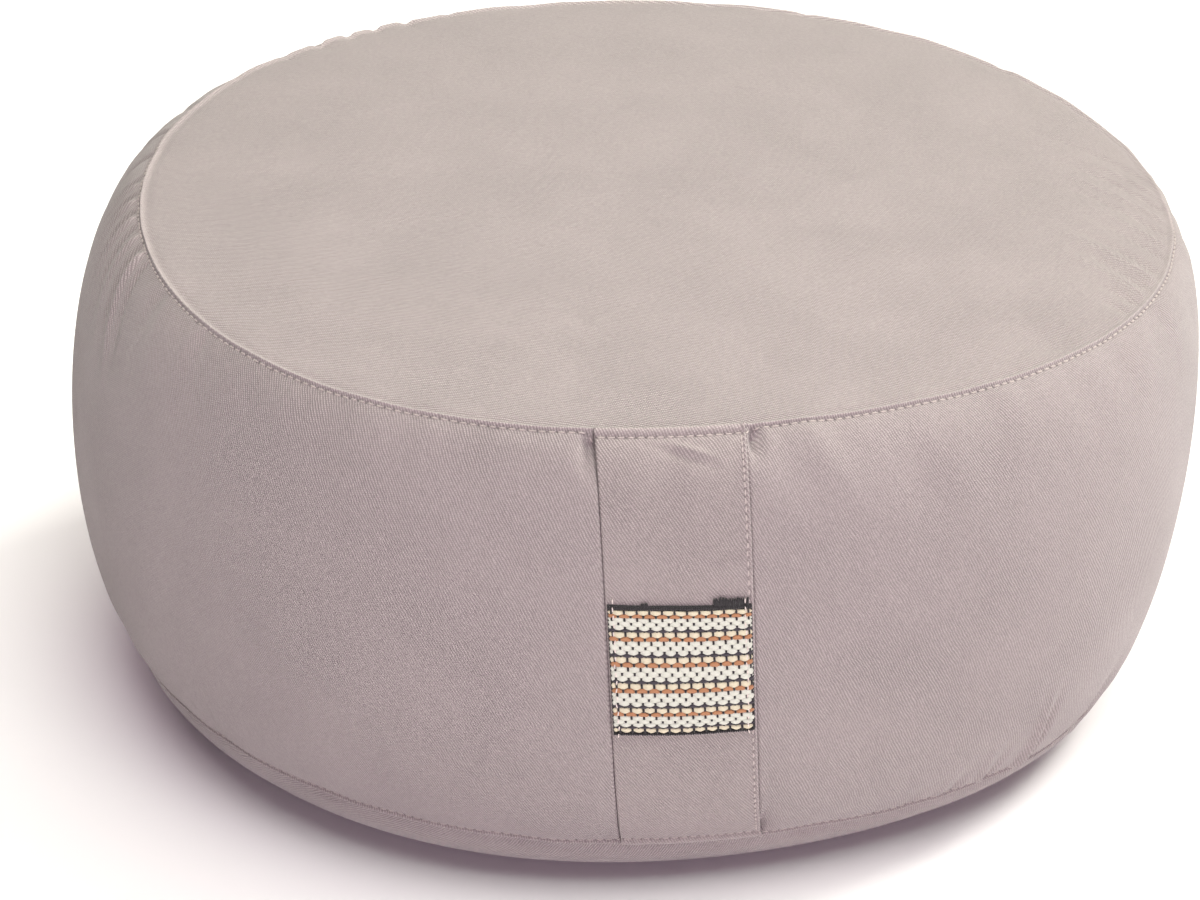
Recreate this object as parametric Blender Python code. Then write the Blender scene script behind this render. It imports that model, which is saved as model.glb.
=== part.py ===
"""A round, firmly stuffed meditation cushion with a flat carry strap down its front.

The cover is a top panel, a side band and a bottom panel, joined along two seams whose
edges stand up as thin ridges. The strap's ends are caught in both seams, it lies taut in
the hollow that it presses into the side band, and a short woven band is sewn across it.

Sizes are in metres and angles in degrees. +Z is up and the strap is at the front, on the
-Y side. The origin is on the floor, at the middle of the whole cushion's bounding box.
"""
import math
from collections import namedtuple

import bmesh
import bpy
from mathutils import Vector

# ---- The cushion's driving sizes -------------------------------------------------------

Seam = namedtuple("Seam", "radius height drop_right middle_x middle_y lobes")
Lobe = namedtuple("Lobe", "count toward height")
Pucker = namedtuple("Pucker", "panel angle half_width reach depth drift")
Ring = namedtuple("Ring", "panel place ridge")

# The outline of each seam is nearly round. A row adds a number of lobes round the turn,
# one of them toward an angle, each standing out by a height.
TOP_LOBES = (
    Lobe(count=2, toward=36, height=0.0058),
    Lobe(count=3, toward=-11, height=0.0019),
    Lobe(count=4, toward=-28, height=0.0017),
)
BOTTOM_LOBES = (
    Lobe(count=2, toward=6, height=0.0035),
    Lobe(count=3, toward=-17, height=0.0018),
    Lobe(count=5, toward=-32, height=0.0009),
)
BELLY_LOBES = (
    Lobe(count=1, toward=173, height=0.0031),
    Lobe(count=2, toward=-51, height=0.0027),
    Lobe(count=3, toward=55, height=0.0011),
    Lobe(count=4, toward=-28, height=0.0009),
)

# The cushion leans a little: both seams are lower on the right, and the top panel's
# middle has moved to the right of the belly's.
TOP_SEAM = Seam(radius=0.1485, height=0.150, drop_right=0.008,
                middle_x=0.0069, middle_y=0.0004, lobes=TOP_LOBES)
BOTTOM_SEAM = Seam(radius=0.147, height=0.0195, drop_right=0.005,
                   middle_x=-0.0016, middle_y=-0.0011, lobes=BOTTOM_LOBES)

# The side band's section is one curve that leaves each seam outwards by the first size
# and towards the belly by the second, a third of the way along.
LEAVE_BOTTOM = (0.020, 0.022)
LEAVE_TOP = (0.025, 0.011)
MIDDLE_SHARE = 0.75         # how much of the two outward sizes the belly shows

CROWN = 0.009               # how far the top panel rises above its seam
CROWN_SQUARENESS = 0.8      # under 1, the crown is flatter in the middle
REST_RADIUS = 0.1075        # the flat that the cushion stands on

SEAM_RIDGE = 0.0011         # how far a seam's folded edges stand up
SEAM_NIP = 0.0005           # how far the cloth draws in beside them
RIDGE_TURN = {1.0: 1.0, 0.0: -0.3}  # how steeply the top and the bottom ridge point up

# A pucker is a soft valley that runs from a seam into a panel. It has its angle at the
# seam, half its width, how far it reaches, its depth, and by how many degrees it drifts
# round the cushion on its way.
PUCKERS = (
    Pucker("side_top", 158.0, 0.006, 0.030, 0.0012, -3.0),
    Pucker("side_top", 170.0, 0.006, 0.034, 0.0014, -3.0),
    Pucker("side_top", 182.0, 0.006, 0.034, 0.0017, -3.5),
    Pucker("side_top", 190.0, 0.006, 0.042, 0.0024, -4.5),
    Pucker("side_top", 200.5, 0.007, 0.044, 0.0020, -3.0),
    Pucker("side_top", 213.0, 0.007, 0.030, 0.0012, -2.0),
    Pucker("side_top", 262.5, 0.005, 0.020, 0.0020, 0.0),
    Pucker("side_top", 5.0, 0.006, 0.026, 0.0010, 2.0),
    Pucker("side_top", 44.0, 0.007, 0.030, 0.0012, 2.0),
    Pucker("side_top", 71.0, 0.006, 0.028, 0.0013, -2.0),
    Pucker("side_bottom", 306.0, 0.005, 0.016, 0.0012, 2.0),
    Pucker("side_bottom", 312.5, 0.006, 0.022, 0.0016, 1.0),
    Pucker("side_bottom", 319.5, 0.007, 0.042, 0.0026, 1.0),
    Pucker("side_bottom", 332.0, 0.007, 0.034, 0.0018, 2.0),
    Pucker("side_bottom", 20.0, 0.007, 0.030, 0.0016, -2.0),
    Pucker("side_bottom", 64.0, 0.007, 0.034, 0.0018, 2.0),
    Pucker("side_bottom", 121.0, 0.006, 0.028, 0.0015, -2.0),
    Pucker("side_bottom", 173.0, 0.007, 0.034, 0.0018, 2.0),
    Pucker("top", 334.5, 0.005, 0.020, 0.0012, 1.0),
    Pucker("top", 340.0, 0.005, 0.030, 0.0018, 3.5),
    Pucker("top", 345.5, 0.005, 0.034, 0.0020, 5.0),
    Pucker("top", 354.5, 0.006, 0.030, 0.0014, 5.0),
    Pucker("top", 3.5, 0.006, 0.030, 0.0014, 6.0),
    Pucker("top", 122.5, 0.005, 0.022, 0.0016, 0.0),
    Pucker("top", 126.8, 0.005, 0.020, 0.0016, 0.0),
    Pucker("top", 131.0, 0.005, 0.022, 0.0016, 0.0),
    Pucker("top", 136.5, 0.005, 0.024, 0.0020, 0.0),
    Pucker("top", 143.0, 0.006, 0.024, 0.0016, 0.0),
)

# ---- The strap's and the woven band's driving sizes -----------------------------------

STRAP_WIDTH = 0.041
STRAP_THICKNESS = 0.002
STRAP_X_AT_TOP = 0.0107     # the strap's middle drifts to the right on its way down
STRAP_X_AT_BOTTOM = 0.0174
GAP = 0.0003                # between two pieces that lie on each other
EDGE_PLAY = 0.0007          # between the strap's edge and the foot of its hollow's wall

BAND_WIDTH = 0.0387
BAND_THICKNESS = 0.0012
BAND_TOP = 0.604            # its ends, as places up the side's section
BAND_BOTTOM = 0.365

# ---- Where the rings and columns of points lie ------------------------------------------

# From the top panel's middle to the bottom panel's. A place on the top panel is a share
# of its radius, on the side it goes from 1 at the top seam to 0 at the bottom one, and
# underneath it is the share of a quarter turn from the bottom seam to the rest.
TOP_RINGS = (0.18, 0.36, 0.52, 0.66, 0.77, 0.86, 0.925, 0.965, 0.985)
SIDE_RINGS = (0.90, 0.82, 0.73, 0.64, 0.55, 0.46, 0.37, 0.28, 0.20, 0.12)
UNDER_RINGS = (0.10, 0.28, 0.46, 0.64, 0.82, 1.0)
NIP_TOP, NIP_BOTTOM = 0.976, 0.030          # the side's rings beside its two seams
HOLLOW_TOP, HOLLOW_BOTTOM = 0.964, 0.044    # where the strap's hollow starts
STRAP_TOP, STRAP_BOTTOM = 0.959, 0.050      # where the strap itself starts

HALF_HOLLOW = STRAP_WIDTH / 2 + EDGE_PLAY
HOLLOW_WALL = 0.0007                        # how wide the hollow's sloping wall is
HOLLOW_DEPTH = STRAP_THICKNESS + GAP
STRAP_COLUMNS = (0.0, 0.35, 0.7)            # shares of half a width, each way
PUFF_COLUMNS = (0.0265, 0.033)              # beside the strap, from its middle
COLUMNS_ROUND = 128                         # the rest of the way round
SHORT_STEP = 0.002                          # of a place and of an angle in radians

COTTON = (0.44, 0.375, 0.365, 1.0)
TAPE = (0.62, 0.56, 0.46, 1.0)


# ---- The cover's shape ------------------------------------------------------------------

def outward(angle):
    """A level direction from the cushion's middle."""
    return Vector((math.cos(angle), math.sin(angle), 0.0))


def lobed(lobes, angle):
    """How far an outline stands out from its circle at an angle."""
    return sum(lobe.height * math.cos(lobe.count * (angle - math.radians(lobe.toward)))
               for lobe in lobes)


def seam_point(seam, angle):
    """A point on a seam's own line, before its edges are raised."""
    middle = Vector((seam.middle_x, seam.middle_y, seam.height))
    drop = Vector((0.0, 0.0, -seam.drop_right * math.cos(angle)))
    return middle + outward(angle) * (seam.radius + lobed(seam.lobes, angle)) + drop


def top_point(share, angle):
    """The top panel: straight out to its seam, with a crown on it."""
    middle = Vector((TOP_SEAM.middle_x, TOP_SEAM.middle_y, TOP_SEAM.height))
    rise = CROWN * max(1.0 - share * share, 0.0) ** CROWN_SQUARENESS
    return middle.lerp(seam_point(TOP_SEAM, angle), share) + Vector((0.0, 0.0, rise))


def side_point(place, angle):
    """The side band: one curve with two handles, from the bottom seam to the top one."""
    bottom = seam_point(BOTTOM_SEAM, angle)
    top = seam_point(TOP_SEAM, angle)
    swell = lobed(BELLY_LOBES, angle) / MIDDLE_SHARE
    low = bottom + outward(angle) * (LEAVE_BOTTOM[0] + swell) + Vector((0, 0, LEAVE_BOTTOM[1]))
    high = top + outward(angle) * (LEAVE_TOP[0] + swell) - Vector((0, 0, LEAVE_TOP[1]))
    rest = 1.0 - place
    return (rest ** 3 * bottom + 3 * rest ** 2 * place * low
            + 3 * rest * place ** 2 * high + place ** 3 * top)


def under_point(share, angle):
    """The bottom panel: a quarter of an ellipse that ends level with the floor."""
    seam = seam_point(BOTTOM_SEAM, angle)
    middle = Vector((BOTTOM_SEAM.middle_x, BOTTOM_SEAM.middle_y, 0.0))
    turn = share * math.pi / 2
    seam_radius = BOTTOM_SEAM.radius + lobed(BOTTOM_SEAM.lobes, angle)
    radius = REST_RADIUS + (seam_radius - REST_RADIUS) * math.cos(turn)
    height = 0.0 if share == 1.0 else seam.z * (1.0 - math.sin(turn))
    return middle + outward(angle) * radius + Vector((0.0, 0.0, height))


PANEL_POINT = {"top": top_point, "side": side_point, "under": under_point}


def panel_normal(panel, place, angle):
    """The way the top panel or the side faces, from two short steps on it."""
    point = PANEL_POINT[panel]
    inner = min(max(place, SHORT_STEP), 1.0 - SHORT_STEP)
    along = point(inner + SHORT_STEP, angle) - point(inner - SHORT_STEP, angle)
    around = point(inner, angle + SHORT_STEP) - point(inner, angle - SHORT_STEP)
    if panel == "top":
        return along.cross(around).normalized()
    return around.cross(along).normalized()


# ---- Puckers and the strap's hollow -------------------------------------------------------

PUCKER_SEAM = {"top": (TOP_SEAM, 1.0), "side_top": (TOP_SEAM, 1.0), "side_bottom": (BOTTOM_SEAM, 0.0)}


def pucker_depth(panel, place, angle):
    """How far the puckers of a panel's seams draw a point in."""
    depth = 0.0
    point = PANEL_POINT[panel]
    for pucker in PUCKERS:
        seam, seam_place = PUCKER_SEAM[pucker.panel]
        share = (point(place, angle) - point(seam_place, angle)).length / pucker.reach
        if not pucker.panel.startswith(panel) or share > 1.0:
            continue
        middle = math.radians(pucker.angle + pucker.drift * share)
        across = math.remainder(angle - middle, 2 * math.pi) * seam.radius
        bell = math.exp(-(across / pucker.half_width) ** 2)
        depth += pucker.depth * bell * math.cos(share * math.pi / 2) ** 2
    return depth


def strap_angle(place, across):
    """The angle of a point a given distance to the right of the strap's middle line."""
    front = side_point(place, math.radians(-90))
    strap_x = STRAP_X_AT_BOTTOM + (STRAP_X_AT_TOP - STRAP_X_AT_BOTTOM) * place
    radius = front.to_2d().length
    return math.radians(-90) + math.asin((strap_x - front.x) / radius) + across / radius


def in_hollow(place, across):
    """Whether a point of the side is on the floor of the strap's hollow."""
    return HOLLOW_BOTTOM <= place <= HOLLOW_TOP and abs(across) <= HALF_HOLLOW


# ---- The filled cushion ---------------------------------------------------------------------

def cover_rings():
    """The cover's rings from the top panel's middle to the bottom panel's."""
    rings = [Ring("top", share, 0.0) for share in TOP_RINGS[:-1]]
    rings.append(Ring("top", TOP_RINGS[-1], -SEAM_NIP))
    rings.append(Ring("side", 1.0, SEAM_RIDGE))
    rings.append(Ring("side", NIP_TOP, -SEAM_NIP))
    rings.append(Ring("side", HOLLOW_TOP, 0.0))
    rings += [Ring("side", place, 0.0) for place in SIDE_RINGS]
    rings.append(Ring("side", HOLLOW_BOTTOM, 0.0))
    rings.append(Ring("side", NIP_BOTTOM, -SEAM_NIP))
    rings.append(Ring("side", 0.0, SEAM_RIDGE))
    rings += [Ring("under", share, 0.0) for share in UNDER_RINGS]
    return rings


def mirrored(distances):
    """The distances to the left of the strap's middle, the middle, and to its right."""
    right = [distance for distance in distances if distance > 0]
    return [-distance for distance in reversed(right)] + [0.0] + right


def front_columns():
    """Where the columns of points near the strap lie, from its middle."""
    inside = [share * STRAP_WIDTH / 2 for share in STRAP_COLUMNS]
    return mirrored(inside + [HALF_HOLLOW, HALF_HOLLOW + HOLLOW_WALL] + list(PUFF_COLUMNS))


def column_angle(column, place):
    """A column's angle at a place on the side: columns near the strap lean with it."""
    front = front_columns()
    if column < len(front):
        return strap_angle(place, front[column])
    start = strap_angle(place, front[-1])
    end = strap_angle(place, front[0]) + 2 * math.pi
    return start + (end - start) * (column - len(front) + 1) / (COLUMNS_ROUND + 1)


def cover_point(ring, column):
    """A point of the finished cover, with its ridge, puckers and hollow."""
    front = front_columns()
    place = {"top": 1.0, "side": ring.place, "under": 0.0}[ring.panel]
    angle = column_angle(column, place)
    point = PANEL_POINT[ring.panel](ring.place, angle)
    if ring.panel == "under":
        return point
    if ring.panel == "side" and ring.place in RIDGE_TURN:
        facing = (outward(angle) + Vector((0.0, 0.0, RIDGE_TURN[ring.place]))).normalized()
        return point + facing * ring.ridge
    lift = ring.ridge - pucker_depth(ring.panel, ring.place, angle)
    if ring.panel == "side" and column < len(front) and in_hollow(place, front[column]):
        lift = -HOLLOW_DEPTH
    return point + panel_normal(ring.panel, ring.place, angle) * lift


def make_cushion():
    """Turns the cover's outline once round, then moves each point to its own place."""
    rings = cover_rings()
    columns = len(front_columns()) + COLUMNS_ROUND
    cover = bmesh.new()
    ring_of = cover.verts.layers.int.new("ring")
    outline = [cover.verts.new((0.0, 0.0, TOP_SEAM.height + CROWN))]
    for number, ring in enumerate(rings):
        point = PANEL_POINT[ring.panel](ring.place, 0.0)
        outline.append(cover.verts.new((point.x, 0.0, point.z)))
        outline[-1][ring_of] = number + 1
    outline.append(cover.verts.new((0.0, 0.0, 0.0)))
    outline[-1][ring_of] = len(rings) + 1
    for pair in zip(outline, outline[1:]):
        cover.edges.new(pair)
    bmesh.ops.spin(cover, geom=cover.verts[:] + cover.edges[:], cent=(0, 0, 0), axis=(0, 0, 1),
                   angle=2 * math.pi, steps=columns, use_merge=True, use_duplicate=False)
    bmesh.ops.remove_doubles(cover, verts=cover.verts[:], dist=1e-6)
    bmesh.ops.recalc_face_normals(cover, faces=cover.faces[:])
    for vert in cover.verts:
        number = vert[ring_of]
        if number == 0:
            vert.co = top_point(0.0, 0.0)
        elif number > len(rings):
            vert.co = Vector((BOTTOM_SEAM.middle_x, BOTTOM_SEAM.middle_y, 0.0))
        else:
            turn = math.atan2(vert.co.y, vert.co.x) / (2 * math.pi)
            vert.co = cover_point(rings[number - 1], round(turn * columns) % columns)
    return finish(cover, "cushion", cotton_finish())


# ---- The strap and the woven band -----------------------------------------------------------

def side_sheet(places, columns, lift, thickness):
    """A sheet that follows the side: its inner face lies at a lift from the smooth side."""
    sheet = bmesh.new()
    bmesh.ops.create_grid(sheet, x_segments=len(columns) - 1, y_segments=len(places) - 1, size=0.5)
    for vert in sheet.verts:
        column = round((vert.co.x + 0.5) * (len(columns) - 1))
        row = round((vert.co.y + 0.5) * (len(places) - 1))
        angle = strap_angle(places[row], columns[column])
        facing = panel_normal("side", places[row], angle)
        vert.co = side_point(places[row], angle) + facing * lift
    sheet.normal_update()
    bmesh.ops.solidify(sheet, geom=sheet.faces[:], thickness=-thickness)
    bmesh.ops.recalc_face_normals(sheet, faces=sheet.faces[:])
    return sheet


def make_strap():
    """The carry strap, from just under the top seam to just above the bottom one."""
    places = [STRAP_BOTTOM] + list(reversed(SIDE_RINGS)) + [STRAP_TOP]
    columns = mirrored([share * STRAP_WIDTH / 2 for share in STRAP_COLUMNS] + [STRAP_WIDTH / 2])
    sheet = side_sheet(places, columns, -STRAP_THICKNESS, STRAP_THICKNESS)
    return finish(sheet, "strap", cotton_finish())


def make_woven_band():
    """The short woven band that is sewn across the strap's face."""
    between = [place for place in reversed(SIDE_RINGS) if BAND_BOTTOM < place < BAND_TOP]
    places = [BAND_BOTTOM] + between + [BAND_TOP]
    half = BAND_WIDTH / 2
    inner = [share * STRAP_WIDTH / 2 for share in STRAP_COLUMNS]
    columns = mirrored(inner + [half])
    sheet = side_sheet(places, columns, GAP, BAND_THICKNESS)
    return finish(sheet, "woven_band", material("tape", TAPE, 0.85))


# ---- Finishes and the scene -------------------------------------------------------------------

def material(name, colour, roughness):
    """A plain Principled finish in the colour of the real cloth."""
    made = bpy.data.materials.get(name) or bpy.data.materials.new(name)
    made.use_nodes = True
    shader = made.node_tree.nodes["Principled BSDF"]
    shader.inputs["Base Color"].default_value = colour
    shader.inputs["Roughness"].default_value = roughness
    shader.inputs["Metallic"].default_value = 0.0
    return made


def cotton_finish():
    """Warm grey cotton twill, on the cover and the strap."""
    return material("cotton_twill", COTTON, 0.9)


def finish(shape, name, look):
    """Makes the mesh an object of the cushion's collection."""
    mesh = bpy.data.meshes.new(name)
    shape.to_mesh(mesh)
    shape.free()
    mesh.shade_smooth()
    mesh.set_sharp_from_angle(angle=math.radians(40))
    mesh.materials.append(look)
    made = bpy.data.objects.new(name, mesh)
    bpy.data.collections["meditation_cushion"].objects.link(made)
    return made


def main():
    for old in list(bpy.data.objects):
        bpy.data.objects.remove(old, do_unlink=True)
    pieces = bpy.data.collections.new("meditation_cushion")
    bpy.context.scene.collection.children.link(pieces)
    make_cushion()
    make_strap()
    make_woven_band()


main()
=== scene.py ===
# %% [markdown]
# # A round meditation cushion
#
# The real cushion is a bag of warm grey cotton twill, stuffed hard. A top panel, a side
# band and a bottom panel are sewn together, and the two seams stand up as thin ridges with
# a row of stitches beside them. A flat strap runs down the front, and a short piece of
# woven tape is sewn across it.
#
# The imported frame is loaded first. Its sizes are the real ones, so every piece below is
# made where the frame has it.

# %% Load the frame
import math
from collections import namedtuple

import bmesh
import bpy
import numpy as np
from mathutils import Matrix, Vector


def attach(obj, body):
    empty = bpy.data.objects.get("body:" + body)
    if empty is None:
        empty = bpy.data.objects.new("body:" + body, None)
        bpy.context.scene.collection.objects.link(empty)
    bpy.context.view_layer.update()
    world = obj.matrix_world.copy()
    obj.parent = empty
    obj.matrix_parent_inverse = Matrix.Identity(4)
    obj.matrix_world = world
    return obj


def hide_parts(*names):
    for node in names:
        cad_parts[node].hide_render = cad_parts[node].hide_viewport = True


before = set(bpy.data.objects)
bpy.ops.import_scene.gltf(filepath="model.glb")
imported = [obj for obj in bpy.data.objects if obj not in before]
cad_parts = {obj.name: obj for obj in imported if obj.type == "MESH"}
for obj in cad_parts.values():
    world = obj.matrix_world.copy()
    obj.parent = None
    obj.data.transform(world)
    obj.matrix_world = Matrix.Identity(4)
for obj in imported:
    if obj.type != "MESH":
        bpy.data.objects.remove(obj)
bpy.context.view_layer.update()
print("pieces in the frame:", sorted(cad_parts))

# %% [markdown]
# ## The camera
#
# The cushion was photographed from a little over a metre away with a long lens, from the
# front and well above it. The camera stands on a line that drops to the cushion's middle
# at one angle, and it is then turned a touch, because the cushion isn't quite centred.

# %% The camera
LOOK_AT = Vector((0.0004, -0.0011, 0.065))
CAMERA_AWAY = 1.3
LOOK_DOWN = math.radians(28.5)
TURN_LEFT = math.radians(0.43)
TURN_UP = math.radians(0.045)
LENS = 129.0                # in millimetres, on a sensor 36 mm wide

back = Vector((0.0, -math.cos(LOOK_DOWN), math.sin(LOOK_DOWN)))
stand = Matrix.Translation(LOOK_AT + back * CAMERA_AWAY)
pitch = Matrix.Rotation(math.radians(90) - LOOK_DOWN, 4, "X")
aim = Matrix.Rotation(TURN_LEFT, 4, "Y") @ Matrix.Rotation(TURN_UP, 4, "X")
lens = bpy.data.cameras.new("camera")
lens.lens = LENS
lens.sensor_width = 36.0
camera = bpy.data.objects.new("camera", lens)
camera.matrix_world = stand @ pitch @ aim
bpy.context.scene.collection.objects.link(camera)
bpy.context.scene.camera = camera
print("camera at", [round(value, 3) for value in camera.location])

# %% [markdown]
# ## The cover's outline
#
# The whole cover comes from a few sizes: the radius and height of each seam, how far the
# belly stands out, how high the top rises and how wide the flat underneath is. No hand
# sews a true circle, so small lobes are added to each outline. The functions take whole
# arrays of points at once, because the cover has many thousands of them.
#
# A point is known by its panel, by how far along the panel it is, and by its angle. Angles
# start at +X, and the front of the cushion is at -90 degrees.

# %% Sizes of the cover, in metres and degrees
Seam = namedtuple("Seam", "radius height drop_right middle_x middle_y lobes")
Lobe = namedtuple("Lobe", "count toward height")

TOP_LOBES = (
    Lobe(count=2, toward=36, height=0.0058),
    Lobe(count=3, toward=-11, height=0.0019),
    Lobe(count=4, toward=-28, height=0.0017),
)
BOTTOM_LOBES = (
    Lobe(count=2, toward=6, height=0.0035),
    Lobe(count=3, toward=-17, height=0.0018),
    Lobe(count=5, toward=-32, height=0.0009),
)
BELLY_LOBES = (
    Lobe(count=1, toward=173, height=0.0031),
    Lobe(count=2, toward=-51, height=0.0027),
    Lobe(count=3, toward=55, height=0.0011),
    Lobe(count=4, toward=-28, height=0.0009),
)
TOP_SEAM = Seam(radius=0.1485, height=0.150, drop_right=0.008,
                middle_x=0.0069, middle_y=0.0004, lobes=TOP_LOBES)
BOTTOM_SEAM = Seam(radius=0.147, height=0.0195, drop_right=0.005,
                   middle_x=-0.0016, middle_y=-0.0011, lobes=BOTTOM_LOBES)
LEAVE_BOTTOM = (0.020, 0.022)   # how the side leaves each seam: outwards and upwards
LEAVE_TOP = (0.025, 0.011)      # or downwards
MIDDLE_SHARE = 0.75         # how much of its handles' reach a curve shows at its middle
CROWN = 0.009               # how far the top panel's middle is above its seam
CROWN_SQUARENESS = 0.8
REST_RADIUS = 0.1075


def unit(vectors):
    """Vectors of length one."""
    return vectors / np.linalg.norm(vectors, axis=-1, keepdims=True)


def half_turn(angle):
    """The same angle, within half a turn of zero."""
    return np.remainder(angle + math.pi, 2 * math.pi) - math.pi


def lobed(lobes, angle):
    """How far an outline stands out from its circle at an angle."""
    return sum(lobe.height * np.cos(lobe.count * (angle - math.radians(lobe.toward)))
               for lobe in lobes)


def outward(angle):
    """A level direction from the cushion's middle."""
    return np.stack([np.cos(angle), np.sin(angle), np.zeros_like(angle)], axis=-1)


def seam_point(seam, angle):
    """A point on a seam's own line."""
    reach = (seam.radius + lobed(seam.lobes, angle))[..., None]
    point = outward(angle) * reach + np.array([seam.middle_x, seam.middle_y, seam.height])
    point[..., 2] -= seam.drop_right * np.cos(angle)
    return point


# %% [markdown]
# The side band's section is one curve with two handles, like a pen tool's curve. The
# bottom panel turns under in a quarter of an ellipse and then lies flat on the floor.

# %% Where a point of each panel lies
def top_point(share, angle):
    """The top panel: straight out to its seam, with a crown on it."""
    middle = np.array([TOP_SEAM.middle_x, TOP_SEAM.middle_y, TOP_SEAM.height])
    point = middle + (seam_point(TOP_SEAM, angle) - middle) * share[..., None]
    point[..., 2] += CROWN * np.maximum(1.0 - share * share, 0.0) ** CROWN_SQUARENESS
    return point


def side_point(place, angle):
    """The side band, from place 0 at the bottom seam to place 1 at the top one."""
    swell = lobed(BELLY_LOBES, angle) / MIDDLE_SHARE
    bottom = seam_point(BOTTOM_SEAM, angle)
    top = seam_point(TOP_SEAM, angle)
    low = bottom + outward(angle) * (LEAVE_BOTTOM[0] + swell)[..., None]
    low[..., 2] += LEAVE_BOTTOM[1]
    high = top + outward(angle) * (LEAVE_TOP[0] + swell)[..., None]
    high[..., 2] -= LEAVE_TOP[1]
    up = place[..., None]
    down = 1.0 - up
    return down ** 3 * bottom + 3 * down ** 2 * up * low + 3 * down * up ** 2 * high + up ** 3 * top


def under_point(share, angle):
    """The bottom panel: turned under until share 1, then flat to its middle at share 2."""
    middle = np.array([BOTTOM_SEAM.middle_x, BOTTOM_SEAM.middle_y, 0.0])
    seam = seam_point(BOTTOM_SEAM, angle)
    turn = np.clip(share, 0.0, 1.0) * math.pi / 2
    seam_radius = BOTTOM_SEAM.radius + lobed(BOTTOM_SEAM.lobes, angle)
    radius = REST_RADIUS + (seam_radius - REST_RADIUS) * np.cos(turn)
    radius = radius * np.clip(2.0 - share, 0.0, 1.0)
    point = outward(angle) * radius[..., None] + middle
    point[..., 2] = seam[..., 2] * (1.0 - np.sin(turn))
    return point


PANELS = {"top": top_point, "side": side_point, "under": under_point}
STEP = 0.002                # a short step along a panel, and round it in radians


def panel_normal(panel, along, angle):
    """The way a panel faces, from two short steps on it."""
    point = PANELS[panel]
    last = 2.0 if panel == "under" else 1.0
    inner = np.clip(along, STEP, last - STEP)
    ahead = point(inner + STEP, angle) - point(inner - STEP, angle)
    around = point(inner, angle + STEP) - point(inner, angle - STEP)
    facing = np.cross(around, ahead) if panel == "side" else np.cross(ahead, around)
    if panel == "under":
        facing = -facing
    return unit(facing)


front = np.array([math.radians(-90)])
FRONT_RADIUS = -float(side_point(np.array([0.5]), front)[0, 1])
print("belly stands out to", round(FRONT_RADIUS * 1000, 1), "mm at the front")

# %% [markdown]
# ## The strap's place
#
# The strap drifts to the right on its way down. A point of the strap, of the tape and of
# the hollow under them is known by its place up the side and by how far it is to the right
# of the strap's middle, so the pieces all use one function.

# %% The strap's sizes and its own direction
STRAP_WIDTH = 0.0403
STRAP_X_AT_TOP = 0.0107
STRAP_X_AT_BOTTOM = 0.0174


def front_section(place):
    """How far right the side is at -90 degrees, and how far from the middle axis."""
    forward = side_point(place, np.full_like(place, math.radians(-90)))
    return forward[..., 0], np.hypot(forward[..., 0], forward[..., 1])


def strap_angle(place, across):
    """The angle of a point a given distance to the right of the strap's middle."""
    right, radius = front_section(place)
    strap_x = STRAP_X_AT_BOTTOM + (STRAP_X_AT_TOP - STRAP_X_AT_BOTTOM) * place
    return math.radians(-90) + np.arcsin((strap_x - right) / radius) + across / radius


def across_strap(place, angle):
    """How far a point is to the right of the strap's middle line."""
    radius = front_section(place)[1]
    turn = angle - strap_angle(place, np.zeros_like(place))
    return np.remainder(turn + math.pi, 2 * math.pi) * radius - math.pi * radius


def smooth_step(value, start, end):
    """0 before the start, 1 after the end, and a soft turn between them."""
    share = np.clip((value - start) / (end - start), 0.0, 1.0)
    return share * share * (3.0 - 2.0 * share)


# %% [markdown]
# ## Folds at the seams
#
# Where a straight band is sewn to a round panel, the stitches draw the cloth into folds
# that fade out away from the seam. The table is sorted by the panel and the seam that a fold
# lies at. Each row has its angle at the seam, half its width, its reach, its height (below
# zero for a valley), how many degrees it drifts as it fades, and the share of its height
# that the seam itself takes part in. Beside the folds that show there are two finer things:
# the seam wavers a little, because it was sewn by hand, and the eased cloth beside it stands
# in small gathers.

# %% The folds' table
Fold = namedtuple("Fold", "panel angle half_width reach height drift at_seam")

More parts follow.
